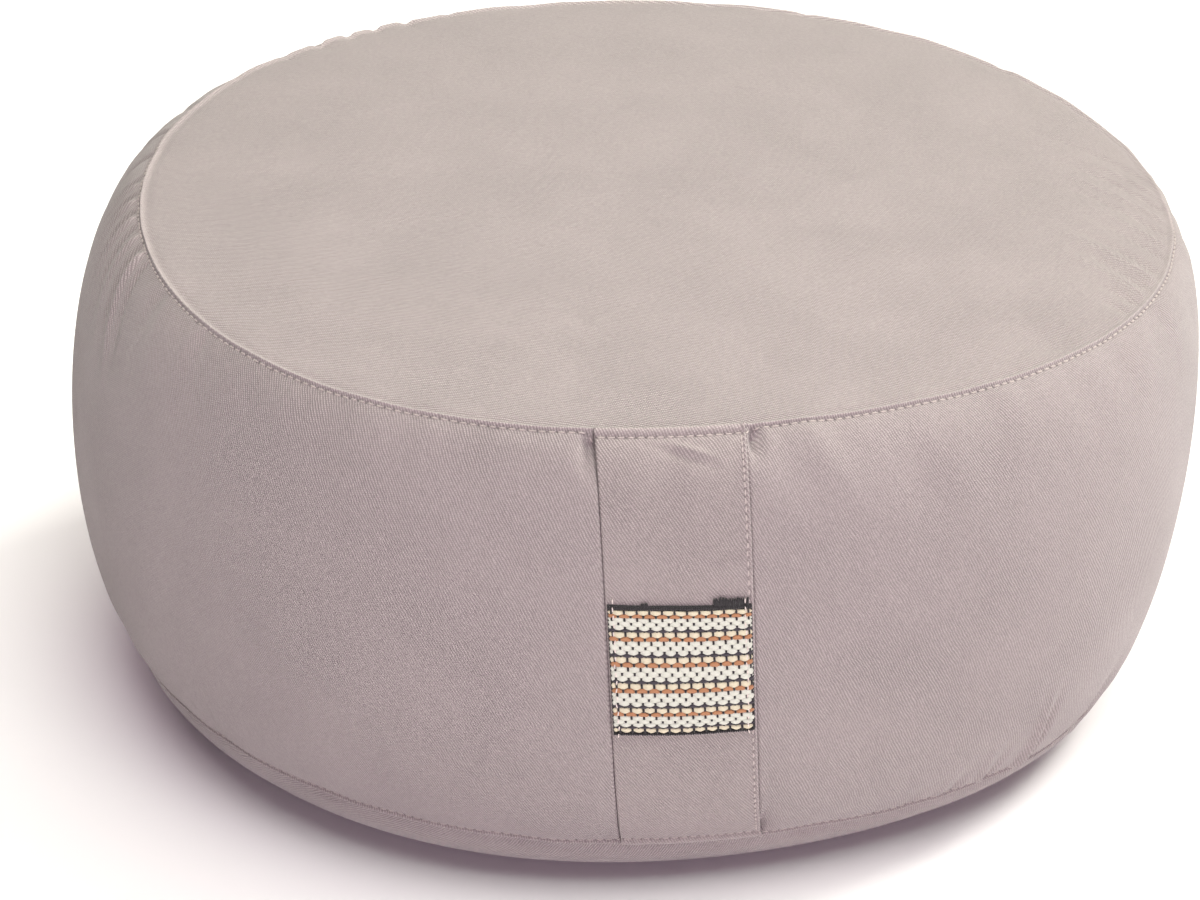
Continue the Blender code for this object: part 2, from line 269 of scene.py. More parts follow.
FOLD_TABLE = {
    "side_top": (
        (160.0, 0.0030, 0.016, -0.0004, -2.0, 0.1),
        (168.0, 0.0026, 0.020, -0.0004, -1.0, 0.1),
        (174.5, 0.0022, 0.026, -0.0004, 0.0, 0.1),
        (181.0, 0.0019, 0.034, -0.00035, 0.5, 0.06),
        (182.8, 0.0017, 0.032, 0.00030, 0.8, 0.05),
        (184.8, 0.0018, 0.036, -0.00045, 1.0, 0.08),
        (187.0, 0.0017, 0.036, 0.00035, 1.2, 0.05),
        (189.2, 0.0018, 0.038, -0.00050, 1.5, 0.08),
        (191.2, 0.0016, 0.038, 0.00040, 1.8, 0.05),
        (193.2, 0.0017, 0.038, -0.00045, 2.2, 0.08),
        (195.6, 0.0017, 0.040, 0.00035, 2.6, 0.05),
        (197.8, 0.0017, 0.042, -0.00045, 3.0, 0.08),
        (199.8, 0.0016, 0.044, 0.00050, 3.4, 0.05),
        (202.0, 0.0018, 0.036, -0.00040, 2.6, 0.08),
        (209.0, 0.0030, 0.020, -0.00030, 0.0, 0.1),
        (219.0, 0.0030, 0.014, -0.00025, 0.0, 0.1),
        (263.2, 0.0022, 0.016, -0.0014, 0.8, 0.05),
        (280.2, 0.0017, 0.011, -0.0016, 0.2, 0.12),
        (286.0, 0.0060, 0.030, 0.00025, 5.0, 0.0),
        (5.0, 0.0040, 0.022, -0.00034, 2.0, 0.2),
        (44.0, 0.0050, 0.026, -0.00042, 2.0, 0.3),
        (71.0, 0.0045, 0.024, -0.00046, -2.0, 0.3),
    ),
    "side_bottom": (
        (303.6, 0.0026, 0.014, -0.0003, 0.0, 0.1),
        (307.2, 0.0020, 0.016, 0.0003, 0.4, 0.1),
        (309.6, 0.0020, 0.018, -0.0004, 0.0, 0.1),
        (312.6, 0.0018, 0.022, 0.0004, -0.6, 0.1),
        (314.6, 0.0018, 0.022, -0.0004, -0.6, 0.1),
        (318.3, 0.0017, 0.038, 0.0007, 0.2, 0.1),
        (320.1, 0.0017, 0.034, -0.0009, -0.8, 0.1),
        (331.0, 0.0050, 0.034, -0.0005, 2.0, 0.3),
        (285.2, 0.0020, 0.026, -0.0007, 0.4, 0.1),
        (20.0, 0.0050, 0.028, -0.00055, -2.0, 0.3),
        (64.0, 0.0050, 0.030, -0.0006, 2.0, 0.3),
        (121.0, 0.0045, 0.026, -0.0005, -2.0, 0.3),
        (173.0, 0.0050, 0.030, -0.0006, 2.0, 0.3),
    ),
    "top": (
        (322.0, 0.0080, 0.018, -0.00025, 0.0, 0.1),
        (334.3, 0.0018, 0.014, -0.00030, 1.5, 0.05),
        (336.9, 0.0018, 0.020, -0.00040, 3.0, 0.05),
        (338.9, 0.0017, 0.034, 0.00035, 7.0, 0.03),
        (340.9, 0.0018, 0.032, -0.00035, 7.0, 0.05),
        (342.9, 0.0017, 0.042, 0.00040, 10.5, 0.03),
        (345.2, 0.0020, 0.032, -0.00035, 8.0, 0.05),
        (349.2, 0.0020, 0.030, -0.00028, 9.0, 0.05),
        (351.9, 0.0019, 0.036, 0.00028, 12.0, 0.03),
        (354.9, 0.0020, 0.036, -0.00028, 13.0, 0.05),
        (358.2, 0.0020, 0.038, 0.00025, 16.0, 0.03),
        (1.6, 0.0022, 0.038, -0.00028, 18.0, 0.05),
        (5.2, 0.0022, 0.036, 0.00022, 19.0, 0.03),
        (9.0, 0.0024, 0.034, -0.00025, 20.0, 0.05),
        (117.0, 0.0030, 0.008, -0.00012, 0.0, 1.0),
        (123.2, 0.0032, 0.009, -0.00030, 0.0, 1.0),
        (127.8, 0.0030, 0.009, -0.00030, 0.0, 1.0),
        (131.9, 0.0032, 0.010, -0.00034, 0.0, 1.0),
        (136.6, 0.0034, 0.011, -0.00036, 0.0, 1.0),
        (142.4, 0.0034, 0.010, -0.00016, 0.0, 1.0),
    ),
}
FOLDS = [Fold(panel, *row) for panel, rows in FOLD_TABLE.items() for row in rows]
SEAMS = {"top": (TOP_SEAM, 1.0), "bottom": (BOTTOM_SEAM, 0.0)}
FOLD_SEAM = {"top": "top", "side_top": "top", "side_bottom": "bottom"}
SEAM_PANELS = {"top": ("top", "side"), "bottom": ("side", "under")}
print(len(FOLDS), "folds")

# %% The folds' relief
FULL_AWAY = 0.004           # from a seam to a fold's full height
FOLD_STRENGTH = 3.2         # on all the table's heights
FADE_POWER = 1.3            # how late a fold fades out along its reach
WIDTH_AT_SEAM = 0.75        # a fold's width at the seam, as a share of the table's
WIDENING = 0.7              # and how much wider it gets along its reach
SHARED_AWAY = 0.005         # how far the seam's own part reaches onto the other panel


def seams_of(panel):
    """The seams that a panel is sewn in."""
    return [which for which in SEAMS if panel in SEAM_PANELS[which]]


def from_seam(which, panel, along, angle):
    """How far a point is from a seam's line."""
    return np.linalg.norm(PANELS[panel](along, angle) - seam_point(SEAMS[which][0], angle), axis=-1)


def fold_section(fold, away, angle):
    """A fold's height across its line, with its foot sunk a little on both sides."""
    share = np.clip(away / fold.reach, 0.0, 1.0)
    turn = half_turn(angle - np.radians(fold.angle + fold.drift * share))
    across = turn * TOP_SEAM.radius / (fold.half_width * (WIDTH_AT_SEAM + WIDENING * share))
    return FOLD_STRENGTH * fold.height * np.exp(-across ** 2) * (1.0 - 0.5 * across ** 2)


def fold_relief(which, panel, away, angle):
    """How far one seam's folds lift a point, or draw it in."""
    relief = np.zeros_like(angle)
    for fold in FOLDS:
        if FOLD_SEAM[fold.panel] != which:
            continue
        if fold.panel.startswith(panel):
            rise = fold.at_seam + (1.0 - fold.at_seam) * smooth_step(away, 0.0, FULL_AWAY)
            share = np.clip(away / fold.reach, 0.0, 1.0)
            rise = rise * np.clip(np.cos(share * math.pi / 2), 0.0, 1.0) ** FADE_POWER
        else:
            rise = fold.at_seam * (1.0 - smooth_step(away, 0.0, SHARED_AWAY))
        relief += rise * fold_section(fold, away, angle)
    return relief


# %% The seams' wavering and the small gathers
Ripple = namedtuple("Ripple", "count height phase")

WAVERS = (Ripple(19, 0.00011, 0.4), Ripple(31, 0.00010, 2.1), Ripple(47, 0.00007, 4.0))
WAVER_AWAY = 0.007
GATHERS = (Ripple(73, 0.00010, 0.3), Ripple(97, 0.00010, 1.9), Ripple(118, 0.00008, 4.4))
GATHER_AWAY = 0.009             # how fast they fade out
GATHER_START = (0.001, 0.005)   # the gathers rise between these two distances from the seam
GATHER_PATCHES = 0.6            # how uneven they are round the seam


def ripples(rows, angle):
    """Several rows of ripples round a seam, added up."""
    return sum(row.height * np.cos(row.count * angle + row.phase) for row in rows)


def seam_ripples(panel, away, angle):
    """The wavering of a seam, and the gathers on the side band beside it."""
    relief = ripples(WAVERS, angle) * (1.0 - smooth_step(away, 0.0, WAVER_AWAY))
    if panel == "side":
        patchy = 1.0 + GATHER_PATCHES * np.cos(9 * angle + 1.0) * np.cos(14 * angle)
        fade = np.exp(-away / GATHER_AWAY) * smooth_step(away, *GATHER_START)
        relief += ripples(GATHERS, angle) * patchy * fade
    return relief


# %% [markdown]
# ## Laying the cover out
#
# The cover is one closed skin. It starts as a plain tin can one metre across and tall, in
# which a point's place says what it will be: on the lid the radius is the share of the top
# panel, down the wall the height is the place on the side, and below the wall come the
# rings of the bottom panel. A grid makes the lid, because rings would crowd its middle, and
# its square is pressed into a disc so that the rim's points are even. The wall is a line
# that is spun round. Near the seams the rows are close. There, beside the strap's edges and
# in three patches of fine folds, the edges that run round are cut again, since every stitch
# and fold has to show in the cloth.

# %% Building blocks of the layout
def packed(first, fine_rows, growth, widest, end):
    """Distances from a seam: some fine rows, then wider and wider ones, up to an end."""
    places = [0.0]
    step = first
    while places[-1] < end:
        places.append(places[-1] + step)
        if len(places) > fine_rows:
            step = min(step * growth, widest)
    scale = end / places[-1]
    return [place * scale for place in places]


def square_to_disc(across, up, packing):
    """Presses a square's point into a disc, with its rows packed towards the rim."""
    ring = max(abs(across), abs(up))
    if ring == 0.0:
        return 0.0, 0.0
    if abs(across) >= abs(up):
        angle = math.pi / 4 * up / across + (math.pi if across < 0 else 0.0)
    else:
        angle = math.pi / 2 - math.pi / 4 * across / up + (math.pi if up < 0 else 0.0)
    share = 1.0 - (1.0 - ring) ** packing
    return share * math.cos(angle), share * math.sin(angle)


def lay_out(columns, side_places, under_shares, packing):
    """The can: its lid, its wall and what is under it, as one closed skin."""
    can = bmesh.new()
    bmesh.ops.create_grid(can, x_segments=columns // 4, y_segments=columns // 4, size=1.0)
    for vert in can.verts:
        vert.co.x, vert.co.y = square_to_disc(vert.co.x, vert.co.y, packing)
    rows = [(1.0, place - 1.0) for place in side_places]
    rows += [(1.0, -1.0 - share) for share in under_shares[:-1]]
    rows.append((0.0, -1.0 - under_shares[-1]))
    line = [can.verts.new((radius, 0.0, height)) for radius, height in rows]
    edges = [can.edges.new(pair) for pair in zip(line, line[1:])]
    bmesh.ops.spin(can, geom=line + edges, cent=(0, 0, 0), axis=(0, 0, 1),
                   angle=2 * math.pi, steps=columns, use_merge=True, use_duplicate=False)
    bmesh.ops.remove_doubles(can, verts=can.verts[:], dist=1e-5)
    bmesh.ops.recalc_face_normals(can, faces=can.faces[:])
    return can


def split_round(can, near, cuts):
    """Cuts again the edges that run round the can, where near says so."""
    chosen = []
    for edge in can.edges:
        one, other = (vert.co for vert in edge.verts)
        level = abs(one.z - other.z) < 1e-5 and abs(one.xy.length - other.xy.length) < 1e-5
        middle = (one + other) / 2
        if level and edge.calc_length() > SHORT_EDGE and near(one.xy.length, one.z, middle):
            chosen.append(edge)
    bmesh.ops.subdivide_edges(can, edges=chosen, cuts=cuts, use_grid_fill=True)


# %% The fine cover's can
COLUMNS = 480
CUTS = 4                    # how often an edge beside a seam or the strap is cut
SHORT_EDGE = math.pi / COLUMNS  # an edge this short isn't cut again
RIM_PACKING = 1.5
SEAM_PLACES = 0.0178        # the places beside a seam whose rows are cut again
BESIDE_STRAP = 0.0026       # and how near the strap's edges the wall is cut again
FOLD_CUTS = 2               # how often the edges in the fine folds are cut
FOLD_PATCHES = (            # where folds lie: from and to an angle, and a height on the can
    (160, 206, -0.30, -1e-6),
    (300, 326, -1.0, -0.72),
)
TOP_FOLD_PATCH = (331, 372, 0.66)   # on the lid: from and to an angle, and from a share

half_side = packed(first=0.0026, fine_rows=8, growth=1.3, widest=0.022, end=0.5)
side_places = [1.0 - place for place in half_side] + half_side[-2::-1]
under_shares = [0.012, 0.026, 0.045, 0.075, 0.12, 0.19, 0.28, 0.38, 0.5, 0.62, 0.75, 0.88, 1.0]
under_shares += [1.15, 1.35, 1.55, 1.75, 1.9, 2.0]
strap_middle = float(strap_angle(np.array([0.5]), np.zeros(1))[0])


def near_seams(radius, height, middle):
    """Whether a point of the can is on the side band, beside one of the two seams."""
    on_wall = radius > 1.0 - 1e-5 and height > -1.0 - 1e-5
    return on_wall and min(-height, 1.0 + height) < SEAM_PLACES


def beside_strap(radius, height, middle):
    """Whether a point of the can is on the side band, beside one of the strap's edges."""
    turn = math.remainder(math.atan2(middle.y, middle.x) - strap_middle, 2 * math.pi)
    return -1.0 < height < 0.0 and abs(abs(turn) * FRONT_RADIUS - STRAP_WIDTH / 2) < BESIDE_STRAP


def near_folds(radius, height, middle):
    """Whether a point of the can is in one of the patches with fine folds."""
    turn = math.degrees(math.atan2(middle.y, middle.x)) % 360
    if height > -1e-6:
        start, end, share = TOP_FOLD_PATCH
        return share < radius < 1.0 - 1e-4 and (turn - start) % 360 < end - start
    return any(start < turn < end and low < height < high for start, end, low, high in FOLD_PATCHES)


fine_can = lay_out(COLUMNS, side_places, under_shares, RIM_PACKING)
split_round(fine_can, near_seams, CUTS)
split_round(fine_can, beside_strap, CUTS)
split_round(fine_can, near_folds, FOLD_CUTS)
print("fine cover:", len(fine_can.verts), "points in", len(side_places), "rows down the side")

# %% [markdown]
# ## Reading the layout back
#
# From here on the points are handled in whole arrays, one panel at a time. The same reader
# serves the fine cover and the coarse one that is simulated below.

# %% Reading a can's points
Layout = namedtuple("Layout", "mesh can angle along panel")


def read_layout(can, name):
    """Makes the can a mesh and reads each point's panel, its place along it and its angle."""
    mesh = bpy.data.meshes.new(name)
    can.to_mesh(mesh)
    can.free()
    points = np.empty(len(mesh.vertices) * 3)
    mesh.vertices.foreach_get("co", points)
    points = points.reshape(-1, 3)
    angle = np.arctan2(points[:, 1], points[:, 0])
    wall = points[:, 2] >= -1.0 - 1e-6
    panel = np.where(points[:, 2] > -1e-6, "top", np.where(wall, "side", "under"))
    along = np.where(panel == "top", np.hypot(points[:, 0], points[:, 1]), 1.0 + points[:, 2])
    along = np.where(panel == "under", -1.0 - points[:, 2], along)
    along = np.where(panel == "under", along, np.clip(along, 0.0, 1.0))
    return Layout(mesh, points, angle, along, panel)


def set_points(mesh, points):
    """Puts a mesh's points where they belong."""
    mesh.vertices.foreach_set("co", np.ascontiguousarray(points, dtype=np.float32).ravel())
    mesh.update()


def by_panel(layout, work):
    """Calls work(panel, along, angle) for each panel's points and joins what it returns."""
    result = None
    for panel in PANELS:
        chosen = layout.panel == panel
        part = work(panel, layout.along[chosen], layout.angle[chosen])
        if result is None:
            result = np.zeros((len(layout.angle),) + part.shape[1:])
        result[chosen] = part
    return result


def smooth_points(layout):
    """The smooth cover, with no seam, fold or hollow in it."""
    return by_panel(layout, lambda panel, along, angle: PANELS[panel](along, angle))


def facings(layout):
    """The way the smooth cover faces at each point."""
    return by_panel(layout, panel_normal)


def folded(layout):
    """The folds' relief at each point."""
    def work(panel, along, angle):
        return sum(fold_relief(which, panel, from_seam(which, panel, along, angle), angle)
                   for which in seams_of(panel))
    return by_panel(layout, work)


# %% Columns that run beside the strap
STRAP_HELD = math.radians(11)   # the columns this near the strap run along it
STRAP_FREE = math.radians(55)   # and past this they run straight down


def follow_strap(layout):
    """Leans the front's columns with the strap, so that its edges run between two of them."""
    place = np.where(layout.panel == "side", layout.along, np.where(layout.panel == "top", 1.0, 0.0))
    turn = half_turn(layout.angle - strap_middle)
    hold = 1.0 - smooth_step(np.abs(turn), STRAP_HELD, STRAP_FREE)
    hold *= np.where(layout.panel == "top", layout.along ** 6, 1.0)
    hold *= np.where(layout.panel == "under", np.clip(1.0 - layout.along, 0.0, 1.0), 1.0)
    shift = half_turn(strap_angle(place, turn * FRONT_RADIUS) - layout.angle)
    return layout._replace(angle=layout.angle + hold * shift)


fine = follow_strap(read_layout(fine_can, "cushion_cover"))
print({panel: int((fine.panel == panel).sum()) for panel in PANELS})

# %% [markdown]
# ## Stuffing the cover
#
# A sewn bag that is stuffed hard takes a shape no formula gives: it swells between its
# seams, and the cloth that is eased into a seam buckles into small soft waves. Blender's
# cloth simulation finds that shape. It runs on a coarse copy with even cells, which keeps it
# quick. The copy starts a little inside the real shape and a little rough, its seams, its
# flat base and the strip under the strap are held, and pressure fills it. The cloth is cut
# a few hundredths too long beside the seams, so that it has something to buckle with.
#
# Only the waves are kept. The slow swell is evened out first, because the outline of the
# fine cover is already the real one.

# %% Stuffing a coarse copy of the cover
COARSE_COLUMNS = 240
COARSE_ROWS = 36
COARSE_PACKING = 1.1
START_INSIDE = 0.0012
PRESSURE = 4.0
FRAMES = 20
EXTRA_CLOTH = 0.02          # how much too long the cloth beside the seams is cut
START_ROUGHNESS = 0.0001
WAVE_SHARE = 0.5            # of the simulated waves' height, since the cushion is well filled
TOP_WAVE_PART = 0.2         # and of that on the top panel, which is drawn flatter
TOP_WAVES_FADE = 0.93       # the share of the top panel at which its waves start to fade
MOST_RELIEF = 0.0012        # the furthest that a wave may move a point
HELD_BESIDE_STRAP = 0.002   # how far past the strap's edges the side is held
SIDE_TIGHT = 0.65           # the tight share down the side's middle; 1 is the true length
SOFTENING = 2               # times that the waves' roughness is evened out
TOP_SWELL = 60              # and times that leave only the top panel's slow swell
SIDE_SWELL = 8              # fewer waves than this round the side are its slow swell
SIDE_ROUGHNESS = 70         # and this many or more are only roughness

ROUGHNESS_SEED = 3
COARSE_CELLS = COARSE_COLUMNS // 4  # the top panel's grid has this many cells each way
CLOTH_SETTINGS = {
    "vertex_group_mass": "held",
    "vertex_group_shrink": "tight",
    "shrink_min": -EXTRA_CLOTH,
    "shrink_max": 0.0,
    "use_pressure": True,
    "uniform_pressure_force": PRESSURE,
    "bending_stiffness": 0.4,
    "quality": 6,
}

coarse_places = [1.0 - row / COARSE_ROWS for row in range(COARSE_ROWS + 1)]
coarse_shares = [0.25, 0.5, 0.75, 1.0, 1.3, 1.6, 2.0]


def held_share(layout):
    """1 for the points that the simulation may not move, down to 0 for the free ones."""
    def work(panel, along, angle):
        if panel == "top":
            return (along > 0.999).astype(float)
        if panel == "under":
            return np.ones_like(along)
        beside = np.abs(across_strap(along, angle)) < STRAP_WIDTH / 2 + HELD_BESIDE_STRAP
        return np.maximum(beside.astype(float), np.maximum(along > 0.999, along < 0.001))
    return by_panel(layout, work)


def tight_share(layout):
    """1 where the cloth has its true length, 0 beside the seams, where it has most to spare."""
    def work(panel, along, angle):
        if panel == "under":
            return np.ones_like(along)
        if panel == "top":
            return 1.0 - smooth_step(along, 0.72, 0.98)
        beside = np.maximum(smooth_step(along, 0.6, 0.95), smooth_step(-along, -0.35, -0.05))
        return SIDE_TIGHT - SIDE_TIGHT * beside
    return by_panel(layout, work)


def stuff(layout):
    """Fills a coarse cover with pressure and returns how far each point moved out."""
    start = smooth_points(layout)
    facing = facings(layout)
    rough = np.random.default_rng(ROUGHNESS_SEED).normal(0.0, START_ROUGHNESS, len(start))
    rough = rough - START_INSIDE
    start += facing * (folded(layout) + rough * (1.0 - held_share(layout)))[:, None]
    set_points(layout.mesh, start)
    bag = bpy.data.objects.new("stuffed_copy", layout.mesh)
    bpy.context.scene.collection.objects.link(bag)
    for name, shares in (("held", held_share(layout)), ("tight", tight_share(layout))):
        group = bag.vertex_groups.new(name=name)
        for number, share in enumerate(shares):
            if share > 0.0:
                group.add([number], float(share), "REPLACE")
    cloth = bag.modifiers.new("cloth", "CLOTH")
    cloth.settings.effector_weights.gravity = 0.0
    for name, value in CLOTH_SETTINGS.items():
        setattr(cloth.settings, name, value)
    for number in range(1, FRAMES + 1):
        bpy.context.scene.frame_set(number)
    moved = np.empty(len(layout.mesh.vertices) * 3)
    bag.evaluated_get(bpy.context.evaluated_depsgraph_get()).data.vertices.foreach_get("co", moved)
    bpy.data.objects.remove(bag)
    return ((moved.reshape(-1, 3) - start) * facing).sum(axis=1)


# %% [markdown]
# The coarse copy's points form two tables of heights: one for the side, by row and column,
# and one for the top panel's grid. A smooth curve through each four neighbours reads a table
# between its points, so the waves have no flats in them.

# %% Reading the waves at any point of the fine cover
def neighbours(at, count, wraps):
    """The four entries round a place in a table, and how far it is past the second."""
    low = np.floor(at).astype(int)
    picks = [low + step for step in (-1, 0, 1, 2)]
    picks = [pick % count if wraps else np.clip(pick, 0, count - 1) for pick in picks]
    return picks, at - low


def smooth_curve(before, one, two, after, part):
    """The height on a smooth curve through four heights, between the middle two."""
    return one + 0.5 * part * (two - before + part * (2 * before - 5 * one + 4 * two - after
                               + part * (3 * (one - two) + after - before)))


def read_table(table, row_at, column_at, wraps):
    """Reads a table of heights at a row and a column that needn't be whole numbers."""
    picks, part = neighbours(row_at, len(table), False)
    rows = smooth_curve(*(table[pick] for pick in picks), part[:, None])
    picks, part = neighbours(column_at, table.shape[1], wraps)
    every = np.arange(len(rows))
    return smooth_curve(*(rows[every, pick] for pick in picks), part)


def disc_to_square(share, angle, packing):
    """The other way round: the square's point for a point of the disc."""
    ring = 1.0 - np.clip(1.0 - share, 0.0, 1.0) ** (1.0 / packing)
    quarter = np.round(angle / (math.pi / 2))
    lean = (angle - quarter * math.pi / 2) / (math.pi / 4) * ring
    turn = quarter * math.pi / 2
    return (ring * np.round(np.cos(turn)) - lean * np.round(np.sin(turn)),
            ring * np.round(np.sin(turn)) + lean * np.round(np.cos(turn)))


def side_table(layout, heights):
    """The side's heights by row and column."""
    table = np.zeros((COARSE_ROWS + 1, COARSE_COLUMNS))
    side = (layout.panel == "side") | (layout.along > 0.9999) & (layout.panel == "top")
    place = np.where(layout.panel[side] == "top", 1.0, layout.along[side])
    row = np.round((1.0 - place) * COARSE_ROWS).astype(int)
    column = np.round(layout.angle[side] / (2 * math.pi) * COARSE_COLUMNS).astype(int)
    table[row, column % COARSE_COLUMNS] = heights[side]
    return table


def top_table(layout, heights):
    """The top panel's heights by the rows and columns of its grid."""
    table = np.zeros((COARSE_CELLS + 1, COARSE_CELLS + 1))
    lid = layout.panel == "top"
    across, up = disc_to_square(layout.along[lid], layout.angle[lid], COARSE_PACKING)
    row = np.round((up + 1.0) / 2 * COARSE_CELLS).astype(int)
    column = np.round((across + 1.0) / 2 * COARSE_CELLS).astype(int)
    table[row, column] = heights[lid]
    return table


def softened(table, rounds):
    """Evens a table out between its neighbours, some times over."""
    for _ in range(rounds):
        padded = np.pad(table, 1, mode="edge")
        table = (4 * table + padded[:-2, 1:-1] + padded[2:, 1:-1]
                 + padded[1:-1, :-2] + padded[1:-1, 2:]) / 8
    return table


def limited(heights):
    """The waves at their share of height, none of them higher than the most."""
    return MOST_RELIEF * np.tanh(WAVE_SHARE * heights / MOST_RELIEF)


def side_ripples(table):
    """The side's waves without its slow swell, and without the finest roughness."""
    waves = np.fft.rfft(softened(table, SOFTENING), axis=1)
    waves[:, :SIDE_SWELL] = 0.0
    waves[:, SIDE_ROUGHNESS:] = 0.0
    return np.fft.irfft(waves, n=table.shape[1], axis=1)


# %% Running the simulation
side_waves = np.zeros((COARSE_ROWS + 1, COARSE_COLUMNS))
top_waves = np.zeros((COARSE_CELLS + 1, COARSE_CELLS + 1))
coarse_can = lay_out(COARSE_COLUMNS, coarse_places, coarse_shares, COARSE_PACKING)
coarse = read_layout(coarse_can, "coarse_cover")
heights = stuff(coarse)
print("the stuffing moved the cloth by", round(float(heights.min()) * 1000, 2), "to",
      round(float(heights.max()) * 1000, 2), "mm")
side_waves = limited(side_ripples(side_table(coarse, heights)))
top_heights = softened(top_table(coarse, heights), SOFTENING)
top_waves = limited(TOP_WAVE_PART * (top_heights - softened(top_heights, TOP_SWELL)))
bpy.data.meshes.remove(coarse.mesh)
print("waves left on the side:", round(float(side_waves.std()) * 1000, 2), "mm, on the top:",
      round(float(top_waves.std()) * 1000, 2), "mm")


def wave_relief(panel, along, angle):
    """The simulated waves at points of a panel."""
    if panel == "under":
        return np.zeros_like(angle)
    if panel == "side":
        column = np.remainder(angle, 2 * math.pi) / (2 * math.pi) * COARSE_COLUMNS
        return read_table(side_waves, (1.0 - along) * COARSE_ROWS, column, True)
    across, up = disc_to_square(along, angle, COARSE_PACKING)
    waves = read_table(top_waves, (up + 1.0) / 2 * COARSE_CELLS,
                       (across + 1.0) / 2 * COARSE_CELLS, False)
    return waves * (1.0 - smooth_step(along, TOP_WAVES_FADE, 1.0))


# %% [markdown]
# ## Seams
#
# Each seam is turned to the outside and stitched down beside its edge. So the edge stands
# up as a thin ridge, and beside it, on the side band, the stitches press a groove, with a
# small pit wherever the needle went in. Where the strap's end is caught in the seam, the
# ridge is thicker and the row of stitches lies further from it.

# %% The seams' relief
WELT_HEIGHT = 0.0008
WELT_HALF_WIDTH = 0.00055
DIP_DEPTH = 0.00028         # how far the top panel dips inside its seam
DIP_AWAY = 0.0013
DIP_HALF_WIDTH = 0.0008
STITCH_AWAY = 0.00115       # from the seam's line to its row of stitches
STITCH_AWAY_AT_STRAP = 0.0023
STRAP_STEP = 0.0012         # the width of the step between the two, beside the strap
STITCH_PITCH = 0.0026
GROOVE_DEPTH = 0.00012
GROOVE_HALF_WIDTH = 0.0006
PIT_DEPTH = 0.0004
PIT_HALF_WIDTH = 0.00032    # along the seam
PIT_HALF_LENGTH = 0.00042   # and square to it
RIDGE_TURN = {"top": 1.8, "bottom": -0.3}   # how steeply each ridge points up


def run_of(seam):
    """The angles round a seam and how far along the seam each one is."""
    angles = np.linspace(0.0, 2 * math.pi, 1441)
    points = seam_point(seam, angles)
    steps = np.linalg.norm(np.diff(points, axis=0), axis=1)
    return angles, np.concatenate([[0.0], np.cumsum(steps)])


def stitch_phase(seam, angle):
    """How many stitches there are from +X to an angle. It is whole at each needle hole."""
    angles, lengths = run_of(seam)
    count = round(lengths[-1] / STITCH_PITCH)
    return np.interp(np.remainder(angle, 2 * math.pi), angles, lengths) / lengths[-1] * count


def under_strap(place, angle):
    """1 under the strap, 0 beside it."""
    across = np.abs(across_strap(place, angle))
    return 1.0 - smooth_step(across, STRAP_WIDTH / 2, STRAP_WIDTH / 2 + STRAP_STEP)


def stitches_away(place, angle):
    """How far the row of stitches is from the seam's line."""
    return STITCH_AWAY + (STITCH_AWAY_AT_STRAP - STITCH_AWAY) * under_strap(place, angle)


def needle_hole(which, away, place, angle):
    """1 in the middle of a needle hole, 0 away from it."""
    row = (away - stitches_away(place, angle)) / PIT_HALF_LENGTH
    phase = stitch_phase(SEAMS[which][0], angle)
    beside = (phase - np.round(phase)) * STITCH_PITCH / PIT_HALF_WIDTH
    return np.exp(-row ** 2 - beside ** 2)


def seam_groove(which, away, place, angle):
    """How deep the row of stitches presses the side band, with its needle holes."""
    row = (away - stitches_away(place, angle)) / GROOVE_HALF_WIDTH
    return GROOVE_DEPTH * np.exp(-row ** 2) + PIT_DEPTH * needle_hole(which, away, place, angle)


def welt_profile(away, half_width, power=1.5):
    """The rounded section of a seam's ridge."""
    share = np.clip(np.abs(away) / half_width, 0.0, 1.0)
    return (1.0 - share ** 2) ** power


def welt_facing(which, angle):
    """The way a seam's ridge points."""
    facing = outward(angle)
    facing[..., 2] = RIDGE_TURN[which]
    return unit(facing)


# %% The whole relief of a panel, with nothing on it
TURN_AWAY = 0.004           # within this of a seam the relief turns to the ridge's own way


def sewn_relief(panel, along, angle):
    """How far folds, waves, gathers and stitches lift a point of a panel."""
    lift = wave_relief(panel, along, angle)
    for which in seams_of(panel):
        away = from_seam(which, panel, along, angle)
        lift = lift + fold_relief(which, panel, away, angle) + seam_ripples(panel, away, angle)
        if panel == "side":
            lift -= seam_groove(which, away, along, angle)
        if panel == "top":
            lift -= DIP_DEPTH * np.exp(-((away - DIP_AWAY) / DIP_HALF_WIDTH) ** 2)
    return lift


def sewn_point(panel, along, angle, extra):
    """A point of a sewn panel, with its relief and ridges, lifted by an extra height."""
    facing = panel_normal(panel, along, angle)
    ridges = 0.0
    for which in seams_of(panel):
        away = from_seam(which, panel, along, angle)
        own = smooth_step(away, 0.0, TURN_AWAY)[:, None]
        facing = unit(facing * own + welt_facing(which, angle) * (1.0 - own))
        height = WELT_HEIGHT * welt_profile(away, WELT_HALF_WIDTH)
        ridges = ridges + welt_facing(which, angle) * height[:, None]
    lift = sewn_relief(panel, along, angle) + extra
    return PANELS[panel](along, angle) + facing * lift[:, None] + ridges


# %% [markdown]
# ## The hollow under the strap
#
# The taut strap presses a flat hollow into the stuffed side. On the left the side band
# puffs up beside it and rolls over into a dark gap. On the right the strap's stitched edge
# lies close on the cloth.

# %% The hollow's relief
STRAP_THICKNESS = 0.0013
HOLLOW_DEPTH = 0.0017
HOLLOW_LEFT = -0.0208       # where the hollow starts and is deep, from the strap's middle
HOLLOW_LEFT_DEEP = -0.0202
HOLLOW_RIGHT_DEEP = 0.0196
HOLLOW_RIGHT = 0.0203
PUFF_HEIGHT = 0.0009        # how far the cloth left of the strap stands up
PUFF_WIDTH = 0.009
RIGHT_PUFF = 0.4            # how much of that the cloth on its right stands up


